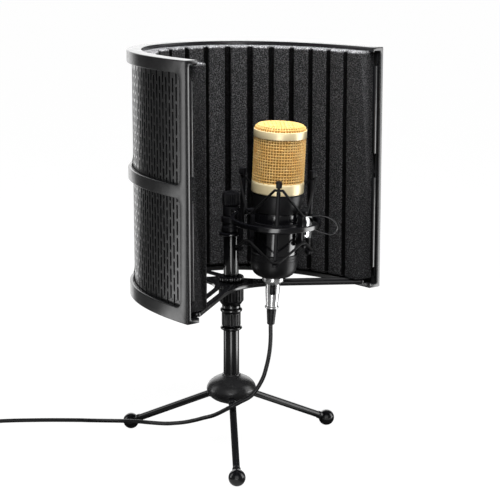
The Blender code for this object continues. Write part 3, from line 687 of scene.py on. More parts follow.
def slotted_sheet():
    """The sheet behind the windows, really cut with staggered upright slots."""
    low, high = heights("perforated_sheet")
    start = SHEET_FROM_END
    length = OUTLINE.length - 2.0 * start
    outside, thick = SHEET_IN, SHEET_THICK
    columns = int(round(length / SLOT_SPACING))
    pitch = length / columns
    tall = SLOT_ROW
    half_width, half_height = SLOT_HALF_WIDTH, SLOT_HALF_HEIGHT
    rows = int((high - low) / tall) + 2
    slot = []
    for k in range(5):
        a = math.radians(-180.0 + 45.0 * k)
        slot.append((half_width * math.cos(a), -half_height + half_width + half_width * math.sin(a)))
    for k in range(5):
        a = math.radians(45.0 * k)
        slot.append((half_width * math.cos(a), half_height - half_width + half_width * math.sin(a)))
    border = [(-1, -0.55), (-1, -1), (0, -1), (1, -1), (1, -0.55),
              (1, 0.55), (1, 1), (0, 1), (-1, 1), (-1, 0.55)]
    verts = []
    faces = []

    def add(loops):
        base = len(verts)
        more_verts, more_faces = skin(loops)
        verts.extend(more_verts)
        faces.extend(tuple(base + i for i in f) for f in more_faces)

    def flat(s0, s1, z0, z1):
        for depth in (outside, outside + thick):
            base = len(verts)
            verts.extend([(s0, depth, z0), (s1, depth, z0), (s1, depth, z1), (s0, depth, z1)])
            faces.append((base, base + 1, base + 2, base + 3))

    for column in range(columns):
        middle_s = start + (column + 0.5) * pitch
        shift = 0.5 * tall if column % 2 else 0.0
        bottom = high
        top = low
        for row in range(rows):
            middle_z = low + 5.0 + shift + (row - 0.5) * tall
            if middle_z - 0.5 * tall < low or middle_z + 0.5 * tall > high:
                continue
            bottom = min(bottom, middle_z - 0.5 * tall)
            top = max(top, middle_z + 0.5 * tall)
            rim = [(middle_s + s * pitch / 2.0, middle_z + z * tall / 2.0) for s, z in border]
            hole = [(middle_s + s, middle_z + z) for s, z in slot]
            soft = [(middle_s + s * 1.16, middle_z + z * 1.025) for s, z in slot]
            add([[(s, outside, z) for s, z in rim], [(s, outside, z) for s, z in soft],
                 [(s, outside + 0.2, z) for s, z in hole], [(s, outside + thick, z) for s, z in hole],
                 [(s, outside + thick, z) for s, z in rim]])
        flat(middle_s - pitch / 2.0, middle_s + pitch / 2.0, low, bottom)
        flat(middle_s - pitch / 2.0, middle_s + pitch / 2.0, top, high)
    piece("slotted_sheet", wrapped((verts, faces)), "sheet", "shield",
          stands_for=["perforated_sheet"], angle=30.0)


RIBS = 18
FOAM_OUT = 6.0
FOAM_IN = 25.6
GROOVE_DEPTH = 9.0
GROOVE_WIDTH = 5.2
FOAM_SETBACK = 5.2
RIB_ROUNDING = 1.7
FOAM_EDGE_ROUNDING = 2.0
FOAM_ROWS = 110


def foam_section():
    """(distance along the crests, inward) points of the ribbed face, from the left end to the right."""
    usable = OUTLINE.crest_run[-1] - 2.0 * FOAM_SETBACK
    pitch = (usable + GROOVE_WIDTH) / RIBS
    rib = pitch - GROOVE_WIDTH
    out = []
    round_off = RIB_ROUNDING
    for k in range(RIBS):
        start = FOAM_SETBACK + k * pitch
        for j in range(4):
            a = math.radians(180.0 - 30.0 * j)
            out.append((start + round_off * (1.0 + math.cos(a)), FOAM_IN - round_off * (1.0 - math.sin(a))))
        for j in range(1, 8):
            out.append((start + round_off + (rib - 2.0 * round_off) * j / 8.0,
                        FOAM_IN + 0.25 * math.sin(math.pi * j / 8.0)))
        for j in range(4):
            a = math.radians(90.0 - 30.0 * j)
            out.append((start + rib - round_off * (1.0 - math.cos(a)),
                        FOAM_IN - round_off * (1.0 - math.sin(a))))
        if k < RIBS - 1:
            for f in (0.5, 0.93):
                out.append((start + rib, FOAM_IN - round_off - (GROOVE_DEPTH - round_off) * f))
            for f in (0.12, 0.5, 0.88):
                out.append((start + rib + GROOVE_WIDTH * f, FOAM_IN - GROOVE_DEPTH))
            for f in (0.93, 0.5):
                out.append((start + pitch, FOAM_IN - round_off - (GROOVE_DEPTH - round_off) * f))
    return out


def foam_lining():
    low, high = heights("foam_lining")
    rows = FOAM_ROWS
    round_off = FOAM_EDGE_ROUNDING
    loops = []
    for crest, d in foam_section():
        s = OUTLINE.from_crest(crest)
        loop = [(s, FOAM_OUT, high), (s, FOAM_OUT + 0.35 * (d - FOAM_OUT), high),
                (s, FOAM_OUT + 0.7 * (d - FOAM_OUT), high)]
        for k in range(5):
            a = math.radians(90.0 - 22.5 * k)
            loop.append((s, d - round_off * (1.0 - math.cos(a)), high - round_off * (1.0 - math.sin(a))))
        for k in range(1, rows):
            loop.append((s, d, high - round_off - (high - low - 2.0 * round_off) * k / rows))
        for k in range(5):
            a = math.radians(-22.5 * k)
            loop.append((s, d - round_off * (1.0 - math.cos(a)), low + round_off * (1.0 + math.sin(a))))
        loop += [(s, FOAM_OUT + 0.7 * (d - FOAM_OUT), low), (s, FOAM_OUT, low)]
        loops.append(loop)
    verts, faces = skin(loops, start_cap=True, end_cap=True)
    soft = []
    for s, d, z in verts:
        p = Vector((s, d * 1.4, z))
        push = 0.30 * noise.noise(p * 0.55) + 0.22 * noise.noise(p * 1.3)
        lift = 0.25 * noise.noise(p * 0.8 + Vector((40.0, 0.0, 0.0)))
        free = 1.0 if d > FOAM_OUT + 0.01 else 0.0
        up = 1.0 if (z > high - 2.2 or z < low + 2.2) and free else 0.0
        soft.append((s, d + push * free, min(z + lift * up, high + 0.1)))
    # The back faces and the faces deep in the grooves take the near-black copy: painted shade where little
    # light reaches.
    painted_shade_faces = []
    for index, face in enumerate(faces):
        reach = [soft[i][1] for i in face]
        level = sum(soft[i][2] for i in face) / len(face)
        back = max(reach) < FOAM_OUT + 0.2
        sunk = min(reach) > FOAM_OUT + 3.0 and sum(reach) / len(reach) < FOAM_IN - 2.2
        if back or (sunk and low + 1.0 < level < high - 1.0 and len(face) == 4):
            painted_shade_faces.append(index)
    foam = piece("foam_lining_ribbed", wrapped((soft, faces)), "foam", "shield",
                 stands_for=["foam_lining"], angle=60.0, marked=painted_shade_faces, second="foam_painted_shade")


def foam_retainers():
    """Upright strips just inside the ends, which hold the sheet and the foam's edge."""
    length = OUTLINE.length
    for row in ("lower", "upper"):
        for side in ("left", "right"):
            node = "foam_retainer_" + side + "_" + row
            low, high = heights(node)
            near, far = (1.2, 4.6) if side == "left" else (length - 4.6, length - 1.2)
            outline = rectangle(near, far, 5.9, 8.4, 0.7)
            shell = slab(outline, low, high, 0.5)
            piece(node + "_strip", wrapped(shell), "frame", "shield", stands_for=[node])


# ------------------------------------------------------------------ bracket
def bracket_outline():
    """Three arms that run into each other in wide curves, counter-clockwise."""
    arms = ((-35.0, 121.8, 7.6), (90.0, 80.6, 13.0), (215.0, 121.8, 7.6))
    between = (24.0, 24.0, 40.0)

    def side(arm, sign):
        heading, _, half = arm
        u = Vector((math.cos(math.radians(heading)), math.sin(math.radians(heading))))
        n = Vector((-u.y, u.x)) * sign
        return u, n * half

    line = []
    for index, arm in enumerate(arms):
        u, right = side(arm, -1.0)
        _, left = side(arm, 1.0)
        tip = u * arm[1]
        line += [(*(tip + right), 4.0), (*(tip + left), 4.0)]
        v, other = side(arms[(index + 1) % 3], -1.0)
        cross = u.x * v.y - u.y * v.x
        gap = other - left
        t = (gap.x * v.y - gap.y * v.x) / cross
        line.append((*(left + u * t), between[index]))
    return soften(line, 4.0, True, 9)


def slot_line(heading, near, far, half, grow=0.0, steps=8):
    out = []
    r = half + grow
    for centre, first in ((far - half, -90.0), (near + half, 90.0)):
        for k in range(steps + 1):
            a = math.radians(first + 180.0 * k / steps)
            out.append((centre + r * math.cos(a), r * math.sin(a)))
    turn = math.radians(heading)
    across, along = math.cos(turn), math.sin(turn)
    return [(x * across - y * along, x * along + y * across) for x, y in out]


def bracket():
    low, top = heights("bracket")
    outline = bracket_outline()
    under = top - 1.5
    levels = ((0.9, top), (0.3, top - 0.25), (0.0, top - 0.9), (0.0, low + 0.3), (0.25, low),
              (1.15, low), (1.4, low + 0.3), (1.4, under))
    loops = [[(x, y, z) for x, y in inset(outline, grow)] for grow, z in levels]
    slots = [(90.0, 24.0, 72.0, 8.4), (-35.0, 24.0, 112.0, 2.7), (215.0, 24.0, 112.0, 2.7)]
    shells = [skin(loops)]
    holes = {"top": [], "under": []}
    for heading, near, far, half in slots:
        rims = []
        for grow, z in ((0.9, top), (0.75, top + 0.35), (0.3, top + 0.35), (0.0, top - 0.1), (0.0, under)):
            rims.append([(x, y, z) for x, y in slot_line(heading, near, far, half, grow)])
        shells.append(skin(rims))
        holes["top"].append(rims[0])
        holes["under"].append(rims[-1])
    for key, border in (("top", loops[0]), ("under", loops[-1])):
        polygons = [border] + [hole[::-1] for hole in holes[key]]
        flat = [p for polygon in polygons for p in polygon]
        shells.append((flat, tessellate_polygon([[Vector(p) for p in polygon] for polygon in polygons])))
    piece("bracket_plate", joined(*shells), "steel", "shield",
          stands_for=["bracket"], angle=40.0)


# ------------------------------------------------------------------ tripod and column
HUB_RADIUS = 22.8
FOOT_RADIUS = 7.5
FOOT_CIRCLE = 108.8
LEG_RADIUS = 3.15
LEG_START_HEIGHT = 47.6
LEG_START_RADIUS = 22.0


def tripod():
    low, high = heights("hub")
    centre = low + 13.6
    profile = [(0.0, low), (7.0, low)]
    for k in range(1, 22):
        a = math.radians(-90.0 + 7.6 * k)
        if HUB_RADIUS * math.cos(a) > 8.3:
            profile.append((HUB_RADIUS * math.cos(a), centre + 13.6 * math.sin(a)))
    profile += [(8.7, 67.9, 0.5), (8.3, 68.6, 0.4), (8.3, high, 0.4), (5.6, high, 0.2), (5.6, 60.0)]
    piece("hub_body", turned(profile, 0.6, 96), "hub", "tripod", stands_for=["hub"])
    slope = (LEG_START_HEIGHT - FOOT_RADIUS) / (FOOT_CIRCLE - LEG_START_RADIUS)
    for side in ("front", "right", "left"):
        at = middle("foot_" + side) - axis_at
        heading = Vector((at.x, at.y, 0.0)).normalized()

        def along(r):
            return heading * r + UP * (FOOT_RADIUS + (FOOT_CIRCLE - r) * slope)

        reach = FOOT_CIRCLE - FOOT_RADIUS * 0.93
        leg = tube(even([along(17.0), along(reach)], 3.0), LEG_RADIUS, 24)
        collar = tube(even([along(20.6), along(23.6)], 0.5),
                      lambda f: LEG_RADIUS + 0.75 * math.sin(math.pi * f) ** 0.35, 24)
        sleeve = tube(even([along(reach - 3.4), along(reach + 0.6)], 0.4),
                      lambda f: LEG_RADIUS + 0.28 + 0.25 * (f > 0.1) * (f < 0.9), 24)
        piece("leg_rod_" + side, joined(leg, collar, sleeve), "steel", "tripod",
              stands_for=["leg_" + side])
        ball = []
        for k in range(25):
            a = math.radians(-90.0 + 7.5 * k)
            ball.append((FOOT_RADIUS * math.cos(a), FOOT_RADIUS * math.sin(a), 0.0))
        place = COLUMN @ Matrix.Translation(heading * FOOT_CIRCLE + UP * FOOT_RADIUS)
        piece("foot_ball_" + side, turned(ball, 0.0, 48), "gloss", "tripod", place,
              ["foot_" + side])


def fluted(count, depth, low, high, sharp=1.0):
    """Flutes that run between two heights and fade out at both."""

    def reach(a, r, z):
        if z < low or z > high or r < 6.5:
            return r
        wave = 0.5 + 0.5 * math.cos(count * a)
        return r - depth * wave ** sharp

    return reach


def column():
    low, high = heights("lower_tube")
    piece("lower_tube_skin", turned([(5.5, low), (7.25, low), (7.25, high), (5.5, high)], 0.4, 72, True),
          "steel", "tripod", stands_for=["lower_tube"])
    low, high = heights("clutch_lower_ring")
    ring = [(5.5, low), (8.6, low, 0.3), (10.0, low + 1.0, 0.7), (10.0, high - 0.9, 0.7),
            (8.8, high, 0.3), (5.5, high)]
    piece("clutch_ring_low", turned(ring, 0.3, 72, True), "gloss", "tripod",
          stands_for=["clutch_lower_ring"])
    low, high = heights("clutch_grip")
    grip = [(5.5, low), (8.1, low, 0.3), (8.75, low + 0.8, 0.4), (8.75, low + 1.6, 0.2),
            (8.75, high - 1.6, 0.2), (8.75, high - 0.8, 0.4), (8.1, high, 0.3), (5.5, high)]
    grip = soften(grip, 0.3, True)
    piece("clutch_grip_fluted", turned(grip, 0.0, 180, True, fluted(20, 0.85, low + 1.2, high - 1.2, 3.0)),
          "rubber", "clutch", stands_for=["clutch_grip"], angle=50.0)
    low, high = heights("clutch_upper_ring")
    ring = [(5.5, low), (8.9, low, 0.3), (10.1, low + 0.8, 0.6), (10.1, low + 2.9, 0.6),
            (8.5, low + 3.9, 0.6), (8.5, high, 0.3), (5.5, high)]
    piece("clutch_ring_high", turned(ring, 0.3, 72, True), "gloss", "clutch",
          stands_for=["clutch_upper_ring"])
    low, high = heights("collar")
    body = [(5.3, low), (8.6, low, 0.4), (11.4, low + 3.9, 0.9), (11.4, low + 5.0, 0.2),
            (11.4, high - 1.6, 0.2), (11.4, high - 1.0, 0.4), (10.5, high, 0.3), (5.3, high)]
    piece("collar_fluted", turned(soften(body, 0.3, True), 0.0, 192, True,
                                  fluted(16, 0.55, low + 4.6, high - 1.2, 4.0)),
          "plastic", "post", stands_for=["collar"], angle=50.0)
    low, high = heights("upper_tube")
    shoulder = heights("ring_nut")[1] + 0.5
    post = [(0.0, low), (4.7, low), (4.7, shoulder), (6.95, shoulder), (6.95, high), (0.0, high)]
    piece("upper_tube_skin", turned(post, 0.35, 72), "steel", "post",
          stands_for=["upper_tube"])
    low, high = heights("top_flange")
    disc = [(0.0, low), (10.0, low), (10.8, low + 0.8), (10.8, high - 0.8), (9.9, high), (0.0, high)]
    piece("top_flange_disc", turned(disc, 0.5, 72), "gloss", "post", stands_for=["top_flange"])
    low, high = heights("ring_nut")
    nut = [(5.0, low), (10.6, low), (11.6, low + 0.9), (11.6, high - 0.9), (10.4, high), (5.0, high)]
    piece("ring_nut_notched", turned(soften(nut, 0.4, True), 0.0, 144, True,
                                     fluted(12, 0.9, low + 0.2, high - 0.2, 6.0)),
          "gloss", "ring_nut", stands_for=["ring_nut"], angle=50.0)


# ------------------------------------------------------------------ shock mount
POST_ANGLES = {"left": -49.0, "right": 71.0, "rear": 191.0}
FINGER_ANGLES = (11.0, 131.0, 251.0)


def upright(shape, near, far, degrees, edge=0.4):
    """A flat part that stands across a radius: shape is in (across, up)."""
    verts, faces = slab(shape, near, far, edge)
    return turned_about_z(([(w, u, v) for u, v, w in verts], faces), degrees)


def mount_base():
    low, high = heights("mount_socket")
    socket = [(0.0, low), (8.3, low), (8.8, low + 0.6), (8.8, low + 4.6), (8.1, low + 5.2),
              (8.1, low + 8.2), (8.8, low + 8.8), (8.8, low + 13.4), (7.9, low + 14.4),
              (3.4, low + 14.4), (3.4, high), (0.0, high)]
    piece("mount_socket_body", turned(socket, 0.35, 72), "plastic", "post",
          stands_for=["mount_socket"])
    low, high = heights("clamp_nut")
    nut = [(3.8, low), (6.9, low), (7.9, low + 1.2), (7.9, high - 2.0), (6.6, high), (3.8, high)]
    piece("clamp_nut_knurled", turned(soften(nut, 0.5, True), 0.0, 192, True,
                                      fluted(24, 0.75, low + 0.8, high - 1.0, 2.0)),
          "plastic", "clamp_nut", stands_for=["clamp_nut"], angle=50.0)
    low, high = heights("swivel_arm")
    centre = ARM.inverted() @ Vector(joints["hoop_tilt"]["pos_m"])
    eye = turned([(3.8, low), (7.4, low), (7.4, high), (3.8, high)], 0.6, 72, True)
    cheeks = []
    outline = [(3.0, centre.z - 2.9)]
    for k in range(13):
        a = math.radians(-90.0 + 15.0 * k)
        outline.append((centre.x + 2.9 * math.cos(a), centre.z + 2.9 * math.sin(a)))
    outline.append((3.0, centre.z + 2.9))
    for side in (-1.0, 1.0):
        verts, faces = slab(outline, 3.0, 5.8, 0.4)
        cheeks.append(([(x, side * y, z) for x, z, y in verts], faces))
    piece("swivel_fork", joined(eye, *cheeks), "plastic", "arm", ARM, ["swivel_arm"])
    pin = [(0.0, -7.9), (2.6, -7.9), (2.6, -6.1), (1.45, -6.1),
           (1.45, 6.1), (2.6, 6.1), (2.6, 7.9), (0.0, 7.9)]
    along = ARM @ Matrix.Translation(centre) @ Matrix.Rotation(math.radians(90.0), 4, "X")
    piece("hinge_pin_turned", turned(pin, 0.35, 40), "chrome", "arm", along, ["hinge_pin"])


def hoop_and_posts():
    band = turned([(36.9, -2.3), (40.2, -2.3), (40.2, 2.3), (36.9, 2.3)], 0.8, 120, True, round_steps=4)
    outline = [(-38.0, -2.6)]
    for k in range(13):
        a = math.radians(-90.0 - 15.0 * k)
        outline.append((-HINGE_BACK + 2.6 * math.cos(a), 2.6 * math.sin(a)))
    outline.append((-38.0, 2.6))
    verts, faces = slab(outline[::-1], -2.7, 2.7, 0.4)
    lug = ([(x, y, z) for x, z, y in verts], faces)
    piece("hoop_ring", joined(band, lug), "gloss", "hoop", HOOP, ["hoop"])
    shape = soften([(-1.2, -27.6), (-1.2, -30.4), (-2.5, -30.4), (-2.5, -33.5), (2.5, -33.5), (2.5, -30.4),
                    (1.2, -30.4), (1.2, -27.6), (1.75, -26.4), (1.75, 32.4), (1.2, 33.4), (1.2, 36.4),
                    (2.5, 36.6), (2.5, 42.6), (-2.5, 42.6), (-2.5, 36.6), (-1.2, 36.4), (-1.2, 33.4),
                    (-1.75, 32.4), (-1.75, -26.4)], 0.4, True, 2)
    for name, degrees in POST_ANGLES.items():
        strip = upright(shape, 33.3, 36.5, degrees, 0.35)
        saddle = upright(rectangle(-4.2, 4.2, -3.4, 3.4, 1.0), 36.2, 37.2, degrees, 0.3)
        hook_top = upright(rectangle(-2.6, 2.6, 36.9, 42.4, 0.8), 36.2, 38.6, degrees, 0.5)
        hook_low = upright(rectangle(-2.6, 2.6, -33.4, -30.6, 0.8), 36.2, 38.6, degrees, 0.5)
        piece("post_strip_" + name, joined(strip, saddle, hook_top, hook_low), "plastic", "hoop",
              HOOP, ["post_" + name])


def zigzag(radius_post, radius_finger, z_post, z_finger):
    """A closed loop that runs between the outer posts and the cradle's fingers, round each of them."""
    points = []
    for k in range(6):
        a = math.radians(FINGER_ANGLES[0] + 60.0 * k)
        radius, z = (radius_finger, z_finger) if k % 2 == 0 else (radius_post, z_post)
        for across, back in ((-3.4, 0.9), (-2.0, 0.2), (0.0, 0.0), (2.0, 0.2), (3.4, 0.9)):
            r = radius - back
            points.append(Vector((r * math.cos(a) - across * math.sin(a),
                                  r * math.sin(a) + across * math.cos(a), z)))
    return points


def cross_over(points):
    """Fine points on a closed loop of straight runs."""
    out = []
    for a, b in zip(points, points[1:] + points[:1]):
        steps = max(1, int((b - a).length / 1.2))
        out += [a.lerp(b, k / steps) for k in range(steps)]
    return out


def suspension():
    spans = {"elastic_upper": (34.9, 9.0), "elastic_lower": (-29.0, -16.0)}
    for name, (z_post, z_finger) in spans.items():
        line = cross_over(zigzag(38.0, 29.2, z_post, z_finger))
        cord = loose(name + "_cord", tube(line, 1.15, 10, True, UP), "elastic", HOOP, 60.0)
        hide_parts(name)
        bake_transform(cord)
    band = turned([(21.4, -7.5), (23.4, -7.5), (23.4, 0.5), (21.4, 0.5)], 0.6, 96, True)
    shape = soften([(-2.4, -12.0), (-1.6, -13.2), (-1.6, -17.4), (-2.4, -18.0), (-2.4, -20.0), (2.4, -20.0),
                    (2.4, -18.0), (1.6, -17.4), (1.6, -13.2), (2.4, -12.0), (2.4, 6.4), (1.6, 7.4),
                    (1.6, 10.4), (2.4, 10.8), (2.4, 13.0), (-2.4, 13.0), (-2.4, 10.8), (-1.6, 10.4),
                    (-1.6, 7.4), (-2.4, 6.4)],
                   0.4, True, 2)
    fingers = []
    for degrees in FINGER_ANGLES:
        fingers.append(upright(shape, 23.0, 27.6, degrees, 0.4))
        fingers.append(upright(rectangle(-2.4, 2.4, 10.9, 13.0, 0.5), 27.3, 30.6, degrees, 0.5))
        fingers.append(upright(rectangle(-2.4, 2.4, -20.0, -17.9, 0.5), 27.3, 30.6, degrees, 0.5))
    piece("cradle_band", joined(band, *fingers), "plastic", "cradle", HOOP, ["cradle"])


CLIP_ANGLE = 40.0
TAB_REACH = 31.8
TAB_WIDTH = 4.9


def clip():
    foot = upright(rectangle(-2.6, 2.0, -14.0, 5.5, 0.6), 23.7, 24.6, CLIP_ANGLE, 0.25)
    window = TAB_REACH - TAB_WIDTH
    outline = soften([(24.0, -14.0), (TAB_REACH, -14.0), (TAB_REACH, 5.5), (24.0, 5.5),
                      (24.0, 3.0), (window, 3.0), (window, -11.5), (24.0, -11.5)], 0.7, True, 3)
    verts, faces = slab(outline, -2.7, -1.9, 0.2)
    tab = turned_about_z(([(x, y, z) for x, z, y in verts], faces), CLIP_ANGLE)
    piece("clamp_tab", joined(foot, tab), "chrome", "cradle", HOOP, ["clamp_plate"])
    route = [(25.6, 0.0, 4.6), (33.0, 0.0, 5.6), (42.0, 0.0, 5.9), (50.6, 0.0, 2.6), (54.3, 0.0, -4.2),
             (50.2, 0.0, -10.2), (41.5, 0.0, -8.9), (32.5, 0.0, -6.2), (25.6, 0.0, -5.8)]
    wire = turned_about_z(tube(spline(route, 0.6), 0.7, 12), CLIP_ANGLE)
    piece("wire_bail", wire, "steel", "wire_handle", HOOP, ["wire_handle"])


# ------------------------------------------------------------------ microphone
GRILLE_RADIUS = 22.2
GRILLE_BOTTOM = 36.8
GRILLE_TOP = 86.0
SHOULDER = 4.4
MESH_WIRES = 56
WIRE_RADIUS = 0.5
WEAVE = 0.42


def grille_profile():
    """(radius, height) up the head's side and over its shoulder."""
    corner = GRILLE_TOP - SHOULDER
    line = [(GRILLE_RADIUS, GRILLE_BOTTOM + (corner - GRILLE_BOTTOM) * k / 60.0) for k in range(61)]
    for k in range(1, 19):
        a = math.radians(5.0 * k)
        line.append((GRILLE_RADIUS - SHOULDER * (1.0 - math.cos(a)), corner + SHOULDER * math.sin(a)))
    return line


def woven_head():
    """The head's woven wire: uprights and rings that pass over and under each other."""
    uprights = MESH_WIRES
    pitch = 2.0 * math.pi * GRILLE_RADIUS / uprights
    wire = WIRE_RADIUS
    weave = WEAVE
    line = even([(r, 0.0, z) for r, z in grille_profile()], pitch / 4.0)
    shells = []
    for index in range(uprights):
        a = 2.0 * math.pi * index / uprights
        points = []
        for k, p in enumerate(line):
            r = p.x + weave * math.cos(math.pi * (k / 4.0 + index))
            points.append((r * math.cos(a), r * math.sin(a), p.z))
        shells.append(tube(points, wire, 5))
    for row in range(0, len(line), 4):
        points = []
        for k in range(4 * uprights):
            a = 2.0 * math.pi * k / (4 * uprights)
            r = line[row].x - weave * math.cos(math.pi * (row + k) / 4.0)
            points.append((r * math.cos(a), r * math.sin(a), line[row].z))
        shells.append(tube(points, wire, 5, True, UP))
    reach = GRILLE_RADIUS - SHOULDER + 0.6
    count = int(reach / pitch)
    for way in range(2):
        for i in range(-count, count + 1):
            across = i * pitch
            half = math.sqrt(max(reach ** 2 - across ** 2, 0.0))
            steps = max(4, int(8.0 * half / pitch))
            points = []
            for k in range(steps + 1):
                t = -half + 2.0 * half * k / steps
                lift = weave * math.cos(math.pi * (t / pitch + i + way))
                dome = GRILLE_TOP - 0.2 + 0.5 * (1.0 - (t * t + across * across) / reach ** 2)
                points.append((t, across, dome + lift) if way == 0 else (across, t, dome + lift))
            shells.append(tube(points, wire, 5))
    piece("head_wire_mesh", joined(*shells), "wire", "cradle", HOOP, ["mic_grille"], angle=80.0)


def microphone():
    """What is turned: the gauze behind the wire, the two bands, the collar, the body and the bell."""
    backing = [(0.0, 37.2), (21.2, 37.2), (21.2, 81.2, 0.0), (20.0, 83.6, 1.5), (17.2, 84.8, 1.0),
               (0.0, 85.0)]
    piece("head_inner_gauze", turned(backing, 0.4, 72), "gauze", "cradle", HOOP)
    band = [(22.3, 75.4), (23.3, 75.4), (23.3, 82.2), (22.3, 82.2)]
    piece("head_band_upper", turned(band, 0.45, 96, True), "gold", "cradle", HOOP, ["mic_band_upper"])
    band = [(0.0, 26.4), (22.9, 26.4), (23.2, 27.1), (23.2, 35.2), (22.7, 36.6), (0.0, 36.6)]
    piece("head_band_lower", turned(band, 0.45, 96), "gold", "cradle", HOOP, ["mic_band_lower"])
    collar = [(0.0, 9.6), (21.0, 9.6), (21.2, 10.3), (22.4, 22.8), (22.6, 25.1), (22.2, 26.1), (0.0, 26.1)]
    piece("body_collar", turned(collar, 0.35, 96), "satin", "cradle", HOOP, ["mic_collar"])
    body = [(0.0, -28.4), (20.6, -28.4), (20.9, -27.8), (20.9, 8.4), (20.6, 8.8), (20.6, 9.3), (0.0, 9.3)]
    piece("body_tube", turned(body, 0.3, 96), "gloss", "cradle", HOOP, ["mic_body"])
    bell = [(0.0, -50.4, 0.0), (12.6, -50.4, 0.8), (15.4, -49.4, 2.5), (17.8, -47.3, 2.5),
            (19.6, -44.2, 2.5), (20.6, -40.6, 2.0), (20.8, -38.0, 1.0), (20.8, -34.2, 0.1),
            (20.6, -33.9, 0.1), (20.8, -33.6, 0.1), (20.8, -31.8, 0.1), (20.6, -31.5, 0.1),
            (20.8, -31.2, 0.1), (20.8, -28.7, 0.4), (0.0, -28.7)]
    piece("body_bell", turned(bell, 0.4, 96, round_steps=5), "satin", "cradle", HOOP,
          ["mic_bell"])


LATCH_ANGLE = -49.0


def plug():
    shell = [(0.0, -80.4), (5.6, -80.4), (6.1, -79.9), (6.1, -78.7), (5.3, -78.1), (5.35, -76.0),
             (6.3, -66.0), (6.5, -57.6, 0.4), (7.0, -56.8, 0.8), (9.3, -55.2, 1.4), (9.9, -54.0, 0.8),
             (9.9, -50.7), (0.0, -50.7)]
    piece("plug_barrel", turned(shell, 0.3, 72, round_steps=4), "plated", "cradle", HOOP,
          ["plug_shell"])
    frame_shape = rectangle(-2.5, 2.5, -66.7, -57.3, 1.2)
    recess = upright(frame_shape, 5.2, 6.55, LATCH_ANGLE, 0.2)
    piece("plug_latch_seat", recess, "plastic", "cradle", HOOP)
    button = soften([(-2.1, -60.4), (-2.1, -64.2), (-1.2, -65.6), (1.2, -65.6), (2.1, -64.2),
                     (2.1, -58.6), (-2.1, -58.6)], 0.5, True)
    piece("plug_latch_button", upright(button, 5.6, 7.3, LATCH_ANGLE, 0.35), "plastic", "latch",
          HOOP, ["plug_latch"])
    boot = [(0.0, -95.4), (3.2, -95.4)]
    for k in range(9):
        z = -94.6 + 1.45 * k
        r = 3.45 + 0.115 * k
        boot += [(r, z, 0.15), (r, z + 0.95, 0.15), (r - 0.35, z + 1.1, 0.1), (r - 0.35, z + 1.35, 0.1)]
    boot += [(4.5, -81.4), (4.3, -80.8), (0.0, -80.8)]
    piece("plug_boot_ribbed", turned(boot, 0.2, 48), "rubber", "cradle", HOOP, ["plug_boot"])


# ------------------------------------------------------------------ cable
CABLE_D = 3.8
CABLE_ROUTE = [
    (7.9, -46.5, 121.4), (7.6, -46.9, 112.0), (6.8, -46.6, 100.0), (5.2, -44.6, 86.0),
    (1.4, -42.3, 72.0), (-6.8, -38.0, 58.5), (-16.2, -32.4, 52.4), (-24.2, -27.9, 48.0),
    (-30.6, -14.0, 38.8), (-32.6, 1.0, 32.4), (-33.6, 13.0, 27.4), (-34.6, 26.5, 22.4),
    (-36.2, 39.6, 18.5), (-38.6, 52.0, 15.5), (-42.4, 70.8, 12.5), (-46.6, 81.6, 11.6),
    (-50.9, 90.0, 10.8), (-56.0, 101.4, 9.3), (-60.6, 120.0, 5.8), (-66.6, 136.3, 3.2),
    (-73.4, 147.5, 2.1), (-101.4, 170.9, 2.1), (-133.0, 193.1, 2.1), (-165.0, 207.6, 2.1),
    (-190.0, 214.6, 2.1)]
COIL_LAYERS = ((2.1, (29.7, 25.9, 22.1, 18.3)), (5.4, (20.2, 24.0, 27.8)),
               (8.7, (29.7, 25.9, 22.1, 18.3)), (12.0, (20.2, 24.0, 27.8)))


def coil_line():
    """The turns of the coil, clockwise from below, then the run down into the plug."""
    low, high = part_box("cable_coil")
    centre = (low + high) / 2.0 - axis_at
    cx, cy = centre.x / MM, centre.y / MM
    turns = [(r, z) for z, radii in COIL_LAYERS for r in radii]
    steps = 36
    out = []
    for index, (r, z) in enumerate(turns):
        nr, nz = turns[min(index + 1, len(turns) - 1)]
        for k in range(steps):
            f = max(0.0, (k / steps - 0.72) / 0.28)
            f = f * f * (3.0 - 2.0 * f)
            a = math.radians(-90.0 - 360.0 * k / steps)
            rr = r + (nr - r) * f
            out.append(Vector((cx + rr * math.cos(a), cy + rr * math.sin(a), z + (nz - z) * f)))
    jack_low, jack_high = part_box("jack_plug")
    end = Vector((jack_low.x, (jack_low.y + jack_high.y) / 2.0, (jack_low.z + jack_high.z) / 2.0)) - axis_at
    end = end / MM
    last = turns[-1][0]
    for degrees, r, z in ((-90.0, last, 12.0), (-130.0, last + 0.1, 12.0), (-170.0, last + 0.6, 12.0),
                          (-200.0, last + 1.6, 11.9), (-228.0, last + 2.8, 11.2), (-252.0, last + 4.0, 9.0)):
        a = math.radians(degrees)
        out.append(Vector((cx + r * math.cos(a), cy + r * math.sin(a), z)))
    out += [end + Vector((-9.0, 0.6, 1.6)), end + Vector((-3.0, 0.0, 0.1)), end]
    return out


# Where each stretch starts along the lead, and the two bodies that it runs between.
STRETCHES = (("cable_top", 0.0, "cradle", "hoop"), ("cable_second", 32.0, "hoop", "arm"),
             ("cable_third", 74.0, "arm", "post"), ("cable_rest", 116.0, "post", "tripod"))


